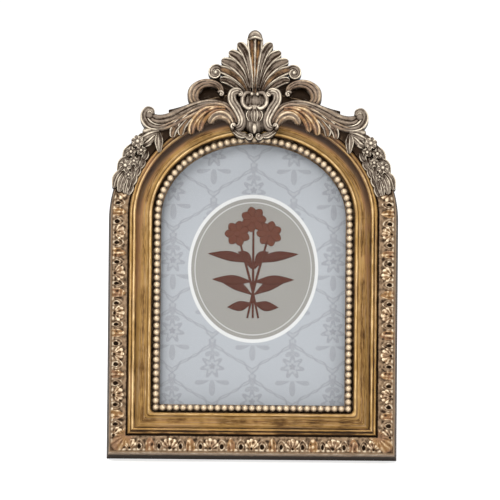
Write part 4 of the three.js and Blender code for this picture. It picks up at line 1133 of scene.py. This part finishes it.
# Operators, one for each group of pieces
class FRAME_OT_castings(bpy.types.Operator):
    """Build the carved outer casting, the gold liner and the pearl course"""
    bl_idname = "photo_frame.castings"
    bl_label = "Build castings"

    def execute(self, context):
        size = sizes()
        look = rubbed_champagne("champagne_casting", "taupe", 0.7, 0.0)
        make_piece("carved_casting", casting_body(size), look, ["outer_casting"])
        look = brushed_gold("brushed_gold")
        make_piece("gold_liner", liner_body(size), look, ["scoop_liner"])
        look = rubbed_pearl("rubbed_pearl")
        make_piece("pearls", pearls_body(size), look, ["pearl_course"])
        return {"FINISHED"}


class FRAME_OT_ornament(bpy.types.Operator):
    """Build the carved crest and the two shoulder sprays"""
    bl_idname = "photo_frame.ornament"
    bl_label = "Build ornament"

    def execute(self, context):
        size = sizes()
        look = rubbed_champagne("champagne_ornament", "ash", 0.8, 1.3)
        spray = spray_body(size)
        make_piece("carved_crest", crest_body(size), look, ["crest"])
        make_piece("flower_spray_right", spray, look, ["shoulder_spray_right"])
        make_piece("flower_spray_left", mirrored(spray), look, ["shoulder_spray_left"])
        return {"FINISHED"}


class FRAME_OT_picture(bpy.types.Operator):
    """Build the printed card and glaze it"""
    bl_idname = "photo_frame.picture"
    bl_label = "Build picture"

    def execute(self, context):
        size = sizes()
        card = arch_slab(size, size.lip - CARD_SLACK, CARD_FRONT - CARD_T, CARD_FRONT)
        make_piece("printed_card", card, printed_card("printed_card"), ["photo_card"])
        make_piece("printed_posy", posy_body(), ink("brown_ink"), [])
        repaint(NODES["glass_pane"], clear_glass("clear_glass"))
        return {"FINISHED"}


class FRAME_OT_back(bpy.types.Operator):
    """Finish the board, the easel leg and the hardware"""
    bl_idname = "photo_frame.back"
    bl_label = "Finish back"

    def execute(self, context):
        flock, steel = flocked("flocked_board"), plated_steel("plated_steel")
        for name, node in NODES.items():
            if not node.hide_render and name != "glass_pane":
                repaint(node, flock if name in ("backing_board", "easel_leg") else steel)
        return {"FINISHED"}


# Stage. The photograph's side and the frame's foot in it are in pixels, the pixel and the lens in mm.
# A soft box has its name, place, width and height in metres, and power in watts.
PHOTO_SIDE = 500
FOOT_COLUMN = 253.3
FOOT_ROW = 456.1
PIXEL = 0.3232
SENSOR = 36
LENS_DISTANCE = 5000.0
CAMERA_ELEVATION = math.radians(7.0)
CAMERA_ROLL = math.radians(0.5)
FLOOR_REACH = 3.0
FLOOR_GLOW = 0.72
AMBIENT = 0.26
LIGHT_AIM = (0, 0, 0.07)
SOFT_BOXES = (
    ("key_box", (-0.35, -1.0, 0.8), 0.5, 0.5, 7.6),
    ("front_box", (0.0, -1.5, 0.15), 0.9, 0.5, 5.0),
    ("fill_box", (0.7, -0.9, 0.4), 0.5, 0.5, 3.0),
    ("top_box", (0.0, -0.2, 1.1), 0.6, 0.3, 3.6),
)


def grey(level):
    """A grey of that much light."""
    return (level, level, level, 1)


def set_floor():
    """A plain pale floor, which glows where it is looked at, so that it meets the white backdrop."""
    floor = bpy.data.meshes.new("floor")
    corners = [(-1, -1, 0), (1, -1, 0), (1, 1, 0), (-1, 1, 0)]
    floor.from_pydata([Vector(corner) * FLOOR_REACH for corner in corners], [], [(0, 1, 2, 3)])
    ground = put("floor", floor)
    paper = Finish("floor_paper", Roughness=0.9, Emission_Strength=1.0)
    paper.dress(Base_Color=paper.mix(paper.noise(30.0), grey(0.92), grey(0.95)))
    paper.dress(Emission_Color=paper.mix(paper.backdrop_seen(), grey(0), grey(FLOOR_GLOW)))
    floor.materials.append(paper.material)


def set_light():
    """A white backdrop that gives a little light, and four soft boxes."""
    world = bpy.data.worlds.new("studio")
    world.use_nodes = True
    bpy.context.scene.world = world
    sky = NodeMaker(world.node_tree)
    backdrop = world.node_tree.nodes["Background"]
    backdrop.inputs["Color"].default_value = grey(1)
    sky.feed(backdrop.inputs["Strength"], AMBIENT + sky.backdrop_seen() * (1 - AMBIENT))
    for name, place, width, height, power in SOFT_BOXES:
        lamp = bpy.data.lights.new(name, "AREA")
        lamp.shape, lamp.size, lamp.size_y, lamp.energy = "RECTANGLE", width, height, power
        holder = put(name, lamp)
        holder.location = place
        holder.rotation_euler = (Vector(LIGHT_AIM) - Vector(place)).to_track_quat("-Z", "Y").to_euler()


def set_camera(size):
    """A long lens a little over the frame, turned by the photograph's small roll."""
    camera = bpy.data.cameras.new("camera")
    camera.sensor_width = SENSOR
    camera.lens = SENSOR * LENS_DISTANCE / (PHOTO_SIDE * PIXEL)
    camera.clip_end = 20
    holder = put("camera", camera)
    ahead = np.array([0, math.cos(CAMERA_ELEVATION), -math.sin(CAMERA_ELEVATION)])
    above = np.array([0, math.sin(CAMERA_ELEVATION), math.cos(CAMERA_ELEVATION)])
    foot = stand(np.array([0.0, 0.0, size.rim_height]))
    middle = PHOTO_SIDE / 2
    target = foot + (above * (FOOT_ROW - middle) + RIGHTWARD * (middle - FOOT_COLUMN)) * PIXEL * MM
    holder.location = target - ahead * LENS_DISTANCE * MM
    level = Matrix.Rotation(math.pi / 2 - CAMERA_ELEVATION, 3, "X")
    holder.rotation_euler = (level @ Matrix.Rotation(CAMERA_ROLL, 3, "Z")).to_euler()
    bpy.context.scene.camera = holder


class FRAME_OT_stage(bpy.types.Operator):
    """Set the floor, the light and the camera"""
    bl_idname = "photo_frame.stage"
    bl_label = "Set stage"

    def execute(self, context):
        context.scene.view_settings.view_transform = "Standard"
        set_floor()
        set_light()
        set_camera(sizes())
        return {"FINISHED"}


STEPS = (FRAME_OT_castings, FRAME_OT_ornament, FRAME_OT_picture, FRAME_OT_back, FRAME_OT_stage)


class FRAME_PT_panel(bpy.types.Panel):
    """Steps and sizes of the photo frame"""
    bl_idname = "FRAME_PT_panel"
    bl_label = "Photo Frame"
    bl_space_type = "VIEW_3D"
    bl_region_type = "UI"
    bl_category = "Photo Frame"

    def draw(self, context):
        for step in STEPS:
            self.layout.operator(step.bl_idname)
        for group in (context.scene.moulding_sizes, context.scene.finish_colours):
            box = self.layout.box()
            for key in type(group).__annotations__:
                box.prop(group, key)


CLASSES = (MouldingSizes, FinishColours, *STEPS, FRAME_PT_panel)


def register():
    """Registers the classes, and gives each scene its sizes and colours."""
    for cls in CLASSES:
        bpy.utils.register_class(cls)
    bpy.types.Scene.moulding_sizes = bpy.props.PointerProperty(type=MouldingSizes)
    bpy.types.Scene.finish_colours = bpy.props.PointerProperty(type=FinishColours)


def unregister():
    """Takes back what register added."""
    del bpy.types.Scene.finish_colours
    del bpy.types.Scene.moulding_sizes
    for cls in reversed(CLASSES):
        bpy.utils.unregister_class(cls)


def main():
    """Registers the classes and runs every step."""
    register()
    bpy.ops.photo_frame.castings()
    bpy.ops.photo_frame.ornament()
    bpy.ops.photo_frame.picture()
    bpy.ops.photo_frame.back()
    bpy.ops.photo_frame.stage()


if __name__ == "__main__":
    main()
